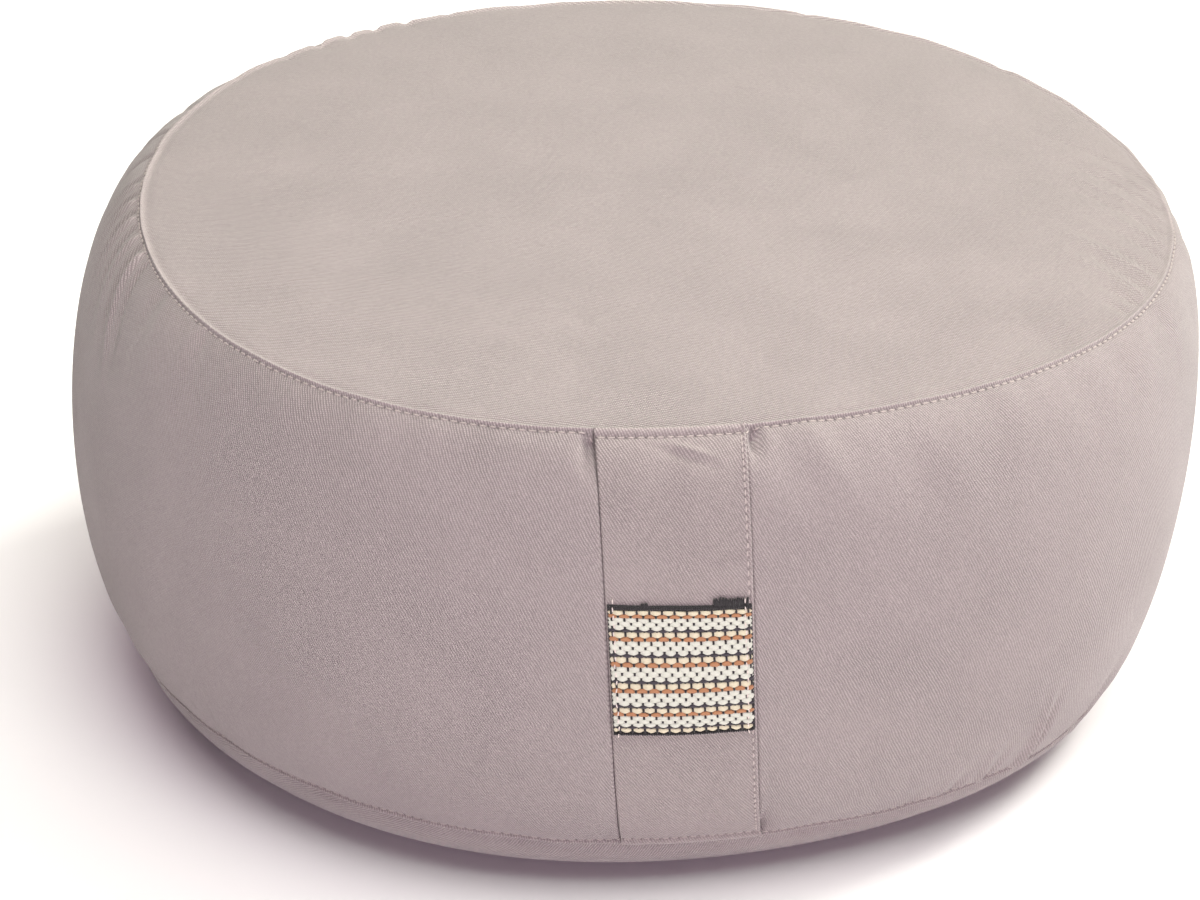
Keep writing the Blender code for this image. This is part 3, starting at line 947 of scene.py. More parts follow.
def hollow_depth(place, angle):
    """How far the strap presses the side in."""
    across = across_strap(place, angle)
    inside = smooth_step(across, HOLLOW_LEFT, HOLLOW_LEFT_DEEP)
    inside *= 1.0 - smooth_step(across, HOLLOW_RIGHT_DEEP, HOLLOW_RIGHT)
    return HOLLOW_DEPTH * inside


def puff_height(place, angle):
    """How far the cloth stands up beside the strap, above all on its left."""
    across = across_strap(place, angle)
    left = np.exp(-((across - HOLLOW_LEFT + 0.001) / PUFF_WIDTH) ** 2)
    left = left * (across < HOLLOW_LEFT + 0.001)
    right = RIGHT_PUFF * np.exp(-((across - HOLLOW_RIGHT - 0.002) / PUFF_WIDTH) ** 2)
    right = right * (across > HOLLOW_RIGHT)
    ends = smooth_step(place, 0.03, 0.2) * (1.0 - smooth_step(place, 0.75, 0.97))
    return PUFF_HEIGHT * (left + right) * ends


# %% The finished cover's points
def cover_point(panel, along, angle):
    """A point of the finished cover, with the hollow under the strap."""
    extra = 0.0
    if panel == "side":
        extra = puff_height(along, angle) - hollow_depth(along, angle)
    return sewn_point(panel, along, angle, extra)


def cover_hole_shade(panel, along, angle):
    """Where the cover's needle holes are, for the painted shade inside them."""
    if panel != "side":
        return np.zeros_like(angle)
    return sum(needle_hole(which, from_seam(which, panel, along, angle), along, angle)
               for which in SEAMS)


def cover_wear_and_highlight(panel, along, angle):
    """Where the cover's cloth is painted paler along its two ridges: partly rubbed wear, partly a
    painted highlight.
    """
    return sum(welt_profile(from_seam(which, panel, along, angle), WELT_HALF_WIDTH)
               for which in seams_of(panel))


set_points(fine.mesh, by_panel(fine, cover_point))
# The first mark paints shade inside the needle holes; the second paints the ridges paler, partly
# rubbed wear and partly a painted highlight.
for name, work in (("needle_hole_shade", cover_hole_shade), ("worn_and_highlighted_edges", cover_wear_and_highlight)):
    marks = fine.mesh.attributes.new(name, "FLOAT", "POINT")
    marks.data.foreach_set("value", by_panel(fine, work).astype(np.float32))
fine.mesh.shade_smooth()
cover = bpy.data.objects.new("cushion_cover", fine.mesh)
bpy.context.scene.collection.objects.link(cover)
triangles = sum(len(face.vertices) - 2 for face in fine.mesh.polygons)
print("cover:", len(fine.mesh.polygons), "faces,", triangles, "triangles")

# %% [markdown]
# ## The way the cloth was cut
#
# Twill has fine slanting ribs, so the pattern has to know how each panel was cut. A UV map
# measured in metres of cloth does that. The side band is unrolled, the top and bottom
# panels are laid flat and turned to the angle at which they were cut. The unrolled length
# is a whole number of ribs, so the pattern meets itself at the back.

# %% The UV map in metres of cloth
RIB_PITCH = 0.00075             # from rib to rib, square to them
RIB_LEAN = math.radians(31)     # the way square to the ribs, from level
MEAN_VALLEY = 0.65              # how deep the cloth lies below its ribs' tops, on average
TOP_CUT = math.radians(-51)     # how far the top panel was turned when it was cut
SIDE_ROUND = 1.0356             # once round the side, before it is made whole ribs
RUN_STEPS = 24                  # steps in which a length of cloth is measured

ribs_round = round(SIDE_ROUND * math.cos(RIB_LEAN) / RIB_PITCH)
CLOTH_ROUND = ribs_round * RIB_PITCH / math.cos(RIB_LEAN)


def panel_run(panel, start, end, angle):
    """The length of cloth on a panel between two places, in short steps."""
    total = np.zeros_like(angle)
    before = PANELS[panel](start, angle)
    for number in range(1, RUN_STEPS + 1):
        here = PANELS[panel](start + (end - start) * number / RUN_STEPS, angle)
        total += np.linalg.norm(here - before, axis=-1)
        before = here
    return total


def up_the_side(place, angle):
    """The length of cloth from the bottom seam up to a place."""
    return panel_run("side", np.zeros_like(place), place, angle)


def base_cloth(share, angle):
    """The bottom panel as it was cut: a flat circle."""
    turned_up = np.clip(share, 0.0, 1.0)
    radius = REST_RADIUS * np.clip(2.0 - share, 0.0, 1.0)
    radius = radius + panel_run("under", turned_up, np.ones_like(share), angle)
    return outward(angle)[:, :2] * radius[:, None]


def flat_cut(point, turn):
    """A panel laid flat and turned."""
    return np.stack([point[:, 0] * math.cos(turn) - point[:, 1] * math.sin(turn),
                     point[:, 0] * math.sin(turn) + point[:, 1] * math.cos(turn)], axis=1)


def cut_cloth(layout):
    """Gives the mesh a UV map in metres: unrolled at the side, flat on the two panels."""
    mesh = layout.mesh
    corners = np.empty(len(mesh.loops), dtype=np.int32)
    mesh.loops.foreach_get("vertex_index", corners)
    starts = np.empty(len(mesh.polygons), dtype=np.int32)
    sizes = np.empty(len(mesh.polygons), dtype=np.int32)
    mesh.polygons.foreach_get("loop_start", starts)
    mesh.polygons.foreach_get("loop_total", sizes)
    face_of = np.repeat(np.arange(len(starts)), sizes)
    middle = np.add.reduceat(layout.can[corners, 2], starts) / sizes
    lid = (middle > -1e-5)[face_of]
    base = (middle < -1.0 + 1e-5)[face_of]
    smooth = smooth_points(layout)
    up = np.zeros(len(layout.angle))
    side = layout.panel == "side"
    up[side] = up_the_side(layout.along[side], layout.angle[side])
    seam = (layout.panel == "top") & (layout.along > 0.9999)
    up[seam] = up_the_side(np.ones(seam.sum()), layout.angle[seam])
    first = layout.angle[corners[starts]][face_of]
    turn = layout.angle[corners]
    turn = first + np.remainder(turn - first + math.pi, 2 * math.pi) - math.pi
    unrolled = np.stack([turn / (2 * math.pi) * CLOTH_ROUND, up[corners]], axis=1)
    cloth = np.where(lid[:, None], flat_cut(smooth[corners], TOP_CUT), unrolled)
    under = np.where(layout.panel == "under", layout.along, 0.0)
    cloth = np.where(base[:, None], base_cloth(under, layout.angle)[corners], cloth)
    mesh.uv_layers.new(name="cloth")
    mesh.uv_layers["cloth"].data.foreach_set("uv", cloth.astype(np.float32).ravel())
    print("cloth round the cushion:", round(CLOTH_ROUND * 1000), "mm, with", ribs_round, "ribs")


cut_cloth(fine)

# %% [markdown]
# ## The twill
#
# Twill shows as slanting ribs that are made of short floats of yarn. One node group draws
# it, and every piece of the cloth uses the group with its own values. The group rotates the
# UV map until it runs square to the ribs, a sine makes the ribs, and a second and finer
# sine breaks them into floats. Noise bends the ribs and makes them clearer in some places
# than in others, as handling does. The group gives a height for the bump and a mask of
# painted shade for the colour, which darkens the valleys between the ribs.

# %% Helpers for node trees
def add_node(tree, kind, **values):
    """A node, with some of its settings and inputs set."""
    node = tree.nodes.new(kind)
    for name, value in values.items():
        if hasattr(node, name):
            setattr(node, name, value)
        else:
            node.inputs[name.replace("_", " ")].default_value = value
    return node


def math_node(tree, operation, first, second=None):
    """A Math node that takes sockets or plain numbers."""
    node = tree.nodes.new("ShaderNodeMath")
    node.operation = operation
    for socket, value in zip(node.inputs, (first, second)):
        if isinstance(value, bpy.types.NodeSocket):
            tree.links.new(value, socket)
        elif value is not None:
            socket.default_value = value
    return node.outputs[0]


def times(tree, first, second):
    """The product of two sockets or numbers."""
    return math_node(tree, "MULTIPLY", first, second)


def plus(tree, first, second):
    """The sum of two sockets or numbers."""
    return math_node(tree, "ADD", first, second)


def noise_of(tree, source, **values):
    """A noise texture on a vector."""
    noise = add_node(tree, "ShaderNodeTexNoise", **values)
    tree.links.new(source, noise.inputs["Vector"])
    return noise


def new_group(name, inputs, outputs):
    """An empty node group with named sockets."""
    tree = bpy.data.node_groups.new(name, "ShaderNodeTree")
    for label, kind, value in inputs:
        socket = tree.interface.new_socket(name=label, in_out="INPUT", socket_type=kind)
        if value is not None:
            socket.default_value = value
    for label, kind in outputs:
        tree.interface.new_socket(name=label, in_out="OUTPUT", socket_type=kind)
    return tree, tree.nodes.new("NodeGroupInput").outputs, tree.nodes.new("NodeGroupOutput").inputs


def place_group(tree, group, **values):
    """Puts a node group into a material, with its own values."""
    node = tree.nodes.new("ShaderNodeGroup")
    node.node_tree = group
    for name, value in values.items():
        node.inputs[name.replace("_", " ")].default_value = value
    return node


# %% The twill group
def centred(tree, noise, height):
    """A noise about zero, as high as asked."""
    return times(tree, math_node(tree, "SUBTRACT", noise.outputs[0], 0.5), height)


def make_twill_group():
    """Ribs and floats of twill, from a vector in metres of cloth."""
    tree, given, result = new_group(
        "twill weave",
        [("Cloth", "NodeSocketVector", None), ("Rib pitch", "NodeSocketFloat", RIB_PITCH),
         ("Lean", "NodeSocketFloat", RIB_LEAN), ("Wobble", "NodeSocketFloat", 0.85),
         ("Drift", "NodeSocketFloat", 2.2)],
        [("Height", "NodeSocketFloat"), ("Valley", "NodeSocketFloat")])
    turned = add_node(tree, "ShaderNodeVectorRotate", rotation_type="Z_AXIS")
    tree.links.new(given["Cloth"], turned.inputs["Vector"])
    tree.links.new(times(tree, given["Lean"], -1.0), turned.inputs["Angle"])
    apart = add_node(tree, "ShaderNodeSeparateXYZ")
    tree.links.new(turned.outputs[0], apart.inputs[0])
    uneven = noise_of(tree, given["Cloth"], Scale=420.0, Detail=2.0)
    drawn = noise_of(tree, given["Cloth"], Scale=70.0, Detail=1.0)
    wobble = centred(tree, uneven, given["Wobble"])
    shift = plus(tree, wobble, centred(tree, drawn, given["Drift"]))
    ribs = math_node(tree, "DIVIDE", apart.outputs["X"], given["Rib pitch"])
    across = plus(tree, ribs, shift)
    rib = math_node(tree, "SINE", times(tree, across, 2 * math.pi))
    rib = plus(tree, times(tree, rib, 0.5), 0.5)
    float_length = times(tree, given["Rib pitch"], 0.8)
    along = math_node(tree, "DIVIDE", apart.outputs["Y"], float_length)
    along = plus(tree, along, times(tree, math_node(tree, "FLOOR", across), 0.37))
    float_of_yarn = math_node(tree, "SINE", times(tree, along, 2 * math.pi))
    float_of_yarn = plus(tree, times(tree, float_of_yarn, 0.30), 0.70)
    height = times(tree, rib, float_of_yarn)
    worn = noise_of(tree, given["Cloth"], Scale=28.0, Detail=3.0)
    clear = add_node(tree, "ShaderNodeMapRange",
                     From_Min=0.35, From_Max=0.65, To_Min=0.6, To_Max=0.95)
    tree.links.new(worn.outputs[0], clear.inputs["Value"])
    tree.links.new(times(tree, height, clear.outputs[0]), result["Height"])
    # The Valley output is a mask of painted shade, highest in the valleys between the ribs.
    about = math_node(tree, "SUBTRACT", 1.0 - MEAN_VALLEY, height)
    valley = times(tree, about, clear.outputs[0])
    tree.links.new(plus(tree, valley, MEAN_VALLEY), result["Valley"])
    return tree


twill_group = make_twill_group()

# %% [markdown]
# Dyed cotton is never one even colour. A second group, shared by the cloth, the thread and
# the tape, gives a soft mottling in large patches and a fine grain, both from the object's
# own coordinates, so they don't follow the cut.

# %% The mottling group
def make_mottle_group():
    """A soft, large unevenness and a fine grain, each about 1 on average."""
    tree, given, result = new_group(
        "cotton mottle",
        [("Place", "NodeSocketVector", None), ("Patches", "NodeSocketFloat", 0.035),
         ("Grain", "NodeSocketFloat", 0.50), ("Grain scale", "NodeSocketFloat", 1100.0)],
        [("Shade", "NodeSocketFloat")])
    patches = noise_of(tree, given["Place"], Scale=16.0, Detail=4.0, Roughness=0.55)
    grain = noise_of(tree, given["Place"], Detail=3.0, Roughness=0.6)
    tree.links.new(given["Grain scale"], grain.inputs["Scale"])
    slow = centred(tree, patches, given["Patches"])
    quick = centred(tree, grain, given["Grain"])
    tree.links.new(plus(tree, plus(tree, slow, quick), 1.0), result["Shade"])
    return tree


mottle_group = make_mottle_group()

# %% The cotton's material
COTTON = (0.490, 0.429, 0.424, 1.0)
VALLEY_PAINTED_SHADE = 0.50         # how much darker the painted shade makes the bottom of the twill's valleys
HOLE_PAINTED_SHADE = 0.56           # and the painted shade inside a needle hole
EDGE_WEAR_AND_HIGHLIGHT = 1.26         # and how much paler the cloth is painted along a folded edge: partly rubbed wear, partly a painted highlight
TWILL_RELIEF = 0.00025


def shade_colour(tree, colour, shade):
    """A colour made lighter or darker by a factor that changes over the surface."""
    mixed = add_node(tree, "ShaderNodeMix", data_type="RGBA", blend_type="MULTIPLY")
    mixed.inputs[0].default_value = 1.0
    mixed.inputs[6].default_value = colour
    tree.links.new(shade, mixed.inputs[7])
    return mixed.outputs[2]


def marked_shade(tree, shade, mark, factor):
    """A shade that is changed where the mesh has a mark."""
    marks = add_node(tree, "ShaderNodeAttribute", attribute_name=mark)
    change = times(tree, marks.outputs["Fac"], factor - 1.0)
    return times(tree, shade, plus(tree, change, 1.0))


def new_look(name, **values):
    """A material with its shader's own numbers set."""
    made = bpy.data.materials.new(name)
    made.use_nodes = True
    shader = made.node_tree.nodes["Principled BSDF"]
    for label, value in values.items():
        shader.inputs[label.replace("_", " ")].default_value = value
    return made, made.node_tree, shader


def give_relief(tree, shader, height, relief):
    """Bumps a shader's surface."""
    bump = add_node(tree, "ShaderNodeBump", Distance=relief, Strength=1.0)
    tree.links.new(height, bump.inputs["Height"])
    tree.links.new(bump.outputs[0], shader.inputs["Normal"])


def twill_material(name, colour, relief):
    """Cotton twill: its ribs in bump and painted shade, a mottled dye, shaded holes, paler ridges
    and a soft sheen.
    """
    made, tree, shader = new_look(name, Roughness=0.88, Specular_IOR_Level=0.25,
                                  Sheen_Weight=0.25, Sheen_Roughness=0.45)
    cut = add_node(tree, "ShaderNodeUVMap", uv_map="cloth")
    place = add_node(tree, "ShaderNodeTexCoord")
    twill = place_group(tree, twill_group)
    mottle = place_group(tree, mottle_group)
    tree.links.new(cut.outputs[0], twill.inputs["Cloth"])
    tree.links.new(place.outputs["Object"], mottle.inputs["Place"])
    # Painted shade darkens the twill's valleys.
    darker = times(tree, twill.outputs["Valley"], VALLEY_PAINTED_SHADE - 1.0)
    shade = times(tree, plus(tree, darker, 1.0), mottle.outputs["Shade"])
    # Painted shade inside the needle holes.
    shade = marked_shade(tree, shade, "needle_hole_shade", HOLE_PAINTED_SHADE)
    # The ridges are painted paler: partly rubbed wear, partly a painted highlight.
    shade = marked_shade(tree, shade, "worn_and_highlighted_edges", EDGE_WEAR_AND_HIGHLIGHT)
    tree.links.new(shade_colour(tree, colour, shade), shader.inputs["Base Color"])
    give_relief(tree, shader, twill.outputs["Height"], relief)
    return made


cotton = twill_material("cotton_twill", COTTON, TWILL_RELIEF)
fine.mesh.materials.append(cotton)

# %% [markdown]
# ## The rows of stitches
#
# A stitch shows as a short float of thread between two needle holes. Every float is a small
# bead, long in the seam's direction and half sunk in its groove. They are joined into one
# mesh for each seam. A seeded random turn and size keep the rows from looking printed.

# %% Beads of thread
Beads = namedtuple("Beads", "middle along facing length width thick")
THREAD_RELIEF = 0.0001      # the grain on a thread


def show(mesh, look, smooth=True):
    """Makes a mesh a piece of the cushion, with its finish."""
    if smooth:
        mesh.shade_smooth()
    mesh.materials.append(look)
    made = bpy.data.objects.new(mesh.name, mesh)
    bpy.context.scene.collection.objects.link(made)
    print(mesh.name, "has", len(mesh.polygons), "faces")
    return made


def finish_piece(shape, name, look, smooth=True):
    """Makes a bmesh a piece of the cushion."""
    mesh = bpy.data.meshes.new(name)
    shape.to_mesh(mesh)
    shape.free()
    return show(mesh, look, smooth)


def lay_beads(middle, along, facing, *sizes):
    """Beads whose length, width and thickness are given for each one, or once for all."""
    return Beads(middle, along, facing, *(np.broadcast_to(size, len(middle)) for size in sizes))


def join_beads(*groups):
    """Several groups of beads as one."""
    return Beads(*(np.concatenate(column) for column in zip(*groups)))


def string_beads(name, beads, look, segments=8, rings=6):
    """One bead, copied, stretched and turned for each row of an array, as one joined mesh."""
    one = bmesh.new()
    bmesh.ops.create_uvsphere(one, u_segments=segments, v_segments=rings, radius=0.5)
    one.verts.index_update()
    points = np.array([vert.co[:] for vert in one.verts])
    faces = [[vert.index for vert in face.verts] for face in one.faces]
    one.free()
    along = unit(beads.along)
    across = unit(np.cross(beads.facing, along))
    out = np.cross(along, across)
    axes = np.stack([across * beads.width[:, None], out * beads.thick[:, None],
                     along * beads.length[:, None]], axis=1)
    placed = beads.middle[:, None, :] + points @ axes
    starts = range(0, len(beads.middle) * len(points), len(points))
    mesh = bpy.data.meshes.new(name)
    mesh.from_pydata(placed.reshape(-1, 3), [], [[start + corner for corner in face]
                                                 for start in starts for face in faces])
    return show(mesh, look)


def thread_material(name, colour):
    """Sewing thread: matt, with a fine grain."""
    made, tree, shader = new_look(name, Roughness=0.7, Sheen_Weight=0.2)
    place = add_node(tree, "ShaderNodeTexCoord")
    mottle = place_group(tree, mottle_group, Grain=0.35, Grain_scale=5000.0)
    tree.links.new(place.outputs["Object"], mottle.inputs["Place"])
    shade = mottle.outputs["Shade"]
    tree.links.new(shade_colour(tree, colour, shade), shader.inputs["Base Color"])
    give_relief(tree, shader, shade, THREAD_RELIEF)
    return made


# %% The sewing thread
THREAD = (0.46, 0.40, 0.38, 1.0)
EDGE_THREAD = (0.50, 0.44, 0.42, 1.0)

sewing_thread = thread_material("sewing_thread", THREAD)
edge_thread = thread_material("edge_thread", EDGE_THREAD)
THREAD_SEED = 7
chance = np.random.default_rng(THREAD_SEED)

# %% [markdown]
# ## The strap
#
# The strap is a folded length of the same twill. It is a flat sheet that takes the side's
# shape: a grid in its own numbers, across and along, whose points are moved onto the side
# and then given a wall with bmesh's solidify. Its ends run up over the ridges, where they
# are caught in the seams. Its right edge is stitched, and a few soft creases cross it.

# %% The strap's rows, columns and creases
Crease = namedtuple("Crease", "across place length width lean height")

CREASES = (
    Crease(across=0.0050, place=0.928, length=0.0060, width=0.0015, lean=-34, height=0.0007),
    Crease(across=0.0030, place=0.908, length=0.0075, width=0.0020, lean=-34, height=-0.0007),
    Crease(across=-0.0020, place=0.740, length=0.020, width=0.0035, lean=86, height=-0.0007),
    Crease(across=0.0140, place=0.700, length=0.007, width=0.0016, lean=12, height=0.0006),
    Crease(across=0.0135, place=0.680, length=0.007, width=0.0016, lean=12, height=-0.0006),
    Crease(across=-0.0120, place=0.820, length=0.016, width=0.0040, lean=78, height=0.0005),
    Crease(across=0.0060, place=0.220, length=0.020, width=0.0040, lean=80, height=-0.0006),
    Crease(across=-0.0080, place=0.150, length=0.016, width=0.0045, lean=95, height=0.0005),
)
METRES_PER_PLACE = 0.165    # about the side's middle
MEAN_SHARE = 0.85           # the mean from seam to seam is about this share of it
STRAP_CUT_AT = 0.37         # where on the cloth the strap was cut, in metres
STRAP_COLUMNS = 84
STRAP_ROWS = 270
EDGE_PACKING = 1.35         # how closely the columns stand at the edges
EDGE_TURN = 0.0006          # how far the strap's edges turn down
EDGE_TURN_WIDTH = 0.0006    # and how near the edge they start to
ROLL_HEIGHT = 0.0004        # the raised roll along the right edge
ROLL_INSIDE = 0.00055
ROLL_HALF_WIDTH = 0.00045
EDGE_STITCH_INSIDE = 0.00135
EDGE_GROOVE = 0.00022
EDGE_GROOVE_HALF_WIDTH = 0.00035
EDGE_STITCHES = 56          # from seam to seam
EDGE_PIT_DEPTH = 0.00025
EDGE_HOLE_SHADE_SHARE = 0.45      # how much painted shade its holes get beside the seams' ones
ROLL_WEAR_AND_HIGHLIGHT = 0.6           # how pale the roll is painted: partly rubbed wear, partly a painted highlight
END_WEAR_AND_HIGHLIGHT = 0.8            # and the folded ends
END_ROLL_HEIGHT = 0.0012    # the strap's folded ends, over the seams' ridges
END_ROLL_HALF_WIDTH = 0.0019


def crease_relief(place, across):
    """The strap's soft creases."""
    relief = np.zeros_like(place)
    for crease in CREASES:
        lean = math.radians(crease.lean)
        right = across - crease.across
        up = (place - crease.place) * METRES_PER_PLACE
        on = right * math.cos(lean) + up * math.sin(lean)
        off = up * math.cos(lean) - right * math.sin(lean)
        relief += crease.height * np.exp(-(on / crease.length) ** 2 - (off / crease.width) ** 2)
    return relief


def edge_hole(place, across):
    """1 in the middle of a needle hole of the strap's edge, 0 away from it."""
    phase = place * EDGE_STITCHES
    beside = (phase - np.round(phase)) / EDGE_STITCHES * METRES_PER_PLACE
    beside = beside * MEAN_SHARE / PIT_HALF_LENGTH
    row = (STRAP_WIDTH / 2 - across - EDGE_STITCH_INSIDE) / PIT_HALF_WIDTH
    return np.exp(-row ** 2 - beside ** 2)


def strap_hole_shade(place, across):
    """The painted shade in the strap's needle holes: down its edge and along both seams."""
    angle = strap_angle(place, across)
    return EDGE_HOLE_SHADE_SHARE * edge_hole(place, across) + sum(
        needle_hole(which, from_seam(which, "side", place, angle), place, angle) for which in SEAMS)


def strap_wear_and_highlight(place, across):
    """Where the strap is painted paler, over the seams and along its right edge: partly rubbed wear,
    partly a painted highlight.
    """
    angle = strap_angle(place, across)
    roll = np.exp(-((STRAP_WIDTH / 2 - across - ROLL_INSIDE) / ROLL_HALF_WIDTH) ** 2)
    ends = sum(welt_profile(from_seam(which, "side", place, angle), END_ROLL_HALF_WIDTH)
               for which in SEAMS)
    return np.maximum(ROLL_WEAR_AND_HIGHLIGHT * roll, END_WEAR_AND_HIGHLIGHT * ends)


def strap_lift(place, across):
    """How far the strap's face stands from the smooth side."""
    angle = strap_angle(place, across)
    from_edge = STRAP_WIDTH / 2 - np.abs(across)
    flat_share = np.clip(from_edge / EDGE_TURN_WIDTH, 0, 1)
    turned = 1.0 - np.sqrt(np.clip(1.0 - (1.0 - flat_share) ** 2, 0, 1))
    lift = crease_relief(place, across) - EDGE_TURN * turned
    inside = STRAP_WIDTH / 2 - across
    lift += ROLL_HEIGHT * np.exp(-((inside - ROLL_INSIDE) / ROLL_HALF_WIDTH) ** 2)
    lift -= EDGE_GROOVE * np.exp(-((inside - EDGE_STITCH_INSIDE) / EDGE_GROOVE_HALF_WIDTH) ** 2)
    lift -= EDGE_PIT_DEPTH * edge_hole(place, across)
    for which in SEAMS:
        away = from_seam(which, "side", place, angle)
        lift -= seam_groove(which, away, place, angle)
    return lift


def strap_point(place, across, extra):
    """A point of the strap, at an extra height from its outer face."""
    angle = strap_angle(place, across)
    facing = panel_normal("side", place, angle)
    point = side_point(place, angle) + facing * (strap_lift(place, across) + extra)[:, None]
    for which in SEAMS:
        away = from_seam(which, "side", place, angle)
        height = END_ROLL_HEIGHT * welt_profile(away, END_ROLL_HALF_WIDTH, 1.0)
        point += welt_facing(which, angle) * height[:, None]
    return point


# %% Making the strap
def lay_sheet(name, columns, rows, move, cloth_at, thickness, look, marks=()):
    """Moves a grid's points, gives it its cloth map and a wall, and makes it a piece."""
    shape = bmesh.new()
    bmesh.ops.create_grid(shape, x_segments=columns, y_segments=rows, size=0.5)
    shape.verts.ensure_lookup_table()
    flat = np.array([vert.co[:] for vert in shape.verts])
    across, up = flat[:, 0] + 0.5, flat[:, 1] + 0.5
    cloth = cloth_at(across, up)
    map_layer = shape.loops.layers.uv.new("cloth")
    for face in shape.faces:
        for corner in face.loops:
            corner[map_layer].uv = cloth[corner.vert.index]
    for label, mark_at in marks:
        layer = shape.verts.layers.float.new(label)
        for vert, mark in zip(shape.verts, mark_at(across, up)):
            vert[layer] = mark
    for vert, point in zip(shape.verts, move(across, up)):
        vert.co = point
    shape.normal_update()
    bmesh.ops.solidify(shape, geom=shape.faces[:], thickness=thickness)
    bmesh.ops.recalc_face_normals(shape, faces=shape.faces[:])
    return finish_piece(shape, name, look)


def strap_numbers(across, up):
    """The strap's across and place for a point of its grid, with more columns at its edges."""
    aside = 2.0 * across - 1.0
    packed_aside = np.sign(aside) * (1.0 - (1.0 - np.abs(aside)) ** EDGE_PACKING)
    return packed_aside * STRAP_WIDTH / 2, up


def strap_move(across, up):
    """Where the strap's grid goes."""
    right, place = strap_numbers(across, up)
    return strap_point(place, right, 0.0)


def strap_cloth(across, up):
    """The strap's cloth, cut along the same way as the side band."""
    right, place = strap_numbers(across, up)
    return np.stack([right + STRAP_CUT_AT, up_the_side(place, strap_angle(place, right))], axis=1)


def on_strap(work):
    """Makes a function of place and across one of the strap's grid."""
    def at_grid(across, up):
        right, place = strap_numbers(across, up)
        return work(place, right)
    return at_grid


STRAP_COTTON = (0.490, 0.429, 0.420, 1.0)
strap_cotton = twill_material("strap_twill", STRAP_COTTON, TWILL_RELIEF)
# The strap's marks paint shade inside its needle holes, and paint its roll and folded ends paler,
# partly rubbed wear and partly a painted highlight.
strap = lay_sheet("carry_strap", STRAP_COLUMNS, STRAP_ROWS, strap_move, strap_cloth,
                  STRAP_THICKNESS, strap_cotton,
                  (("needle_hole_shade", on_strap(strap_hole_shade)), ("worn_and_highlighted_edges", on_strap(strap_wear_and_highlight))))
strap_length = float(up_the_side(np.ones(1), strap_angle(np.ones(1), np.zeros(1)))[0])
print("strap:", round(STRAP_WIDTH * 1000), "mm by", round(strap_length * 1000), "mm")

# %% The strap's edge stitches
EDGE_STITCH_LIFT = 0.0001
EDGE_STITCH_SIZE = (0.0017, 0.0005, 0.00034)    # how long, wide and thick


def stitch_edge(name, across):
    """A row of stitches down the strap, at a distance from its middle."""
    places = (np.arange(2, EDGE_STITCHES - 2) + 0.5) / EDGE_STITCHES
    right = np.full(len(places), across)
    middles = strap_point(places, right, EDGE_STITCH_LIFT)
    above = strap_point(places + 0.001, right, EDGE_STITCH_LIFT)
    facing = panel_normal("side", places, strap_angle(places, right))
    beads = lay_beads(middles, above - middles, facing, *EDGE_STITCH_SIZE)
    return string_beads(name, beads, edge_thread)


strap_stitches = stitch_edge("strap_edge_stitches", STRAP_WIDTH / 2 - EDGE_STITCH_INSIDE)

# %% [markdown]
# ## The seams' stitches
#
# The two rows of stitches run over the cover and over the strap's ends, so they come last:
# each bead is laid on whichever of the two is there.

# %% Stitching the two seams
STITCH_LENGTH = 0.0019
THREAD_WIDTH = 0.00050
THREAD_THICKNESS = 0.00036
STITCH_LIFT = 0.00004       # from the cloth to a stitch's middle


def row_points(which, phases):
    """Points on a seam's row of stitches, with their places and angles."""
    seam, seam_place = SEAMS[which]
    angles, lengths = run_of(seam)
    count = round(lengths[-1] / STITCH_PITCH)
    angle = np.interp(phases / count * lengths[-1], lengths, angles)
    angle = np.where(angle > math.pi, angle - 2 * math.pi, angle)
    inward = 0.01 if which == "bottom" else -0.01
    place = np.full_like(angle, seam_place)
    per_place = from_seam(which, "side", place + inward, angle) / abs(inward)
    place = place + stitches_away(place, angle) / per_place * np.sign(inward)
    across = across_strap(place, angle)
    crosses = (np.abs(across) < STRAP_WIDTH / 2)[:, None]
    point = np.where(crosses, strap_point(place, across, STITCH_LIFT),
                     sewn_point("side", place, angle, STITCH_LIFT))
    return point, place, angle


def stitch_seam(which):
    """All the stitches of one seam, as one mesh."""
    count = round(run_of(SEAMS[which][0])[1][-1] / STITCH_PITCH)
    whole = np.arange(count)
    middles, place, angle = row_points(which, whole + 0.5)
    along = unit(row_points(which, whole + 0.6)[0] - row_points(which, whole + 0.4)[0])
    along[:, 2] += chance.normal(0.0, 0.03, count)
    length = STITCH_LENGTH * (1.0 + chance.normal(0.0, 0.05, count))
    beads = lay_beads(middles, along, panel_normal("side", place, angle), length,
                      THREAD_WIDTH, THREAD_THICKNESS)
    return string_beads(which + "_seam_stitches", beads, sewing_thread)


seam_stitches = [stitch_seam(which) for which in SEAMS]

# %% [markdown]
# ## The woven tape
#
# The short tape across the strap is a plain weave of thick cotton. Its yarns lie in rows
# from side to side and go over and under thin dark threads that run down it, so each row
# is a line of pillows, and the next row's pillows stand between them. Six rows repeat:
# cream, orange, three white ones and a dark one. It is an old and common pattern of coarse
# tape. A chart gives the width and thickness of each row's yarn in millimetres.
#
# Every yarn starts as a flat grid. It is rolled into a tube, pinched shut at both ends and
# laid along its own line, all in one pass over the points.

# %% The tape's chart, in millimetres
Yarn = namedtuple("Yarn", "name wide thick to_next wave sway")

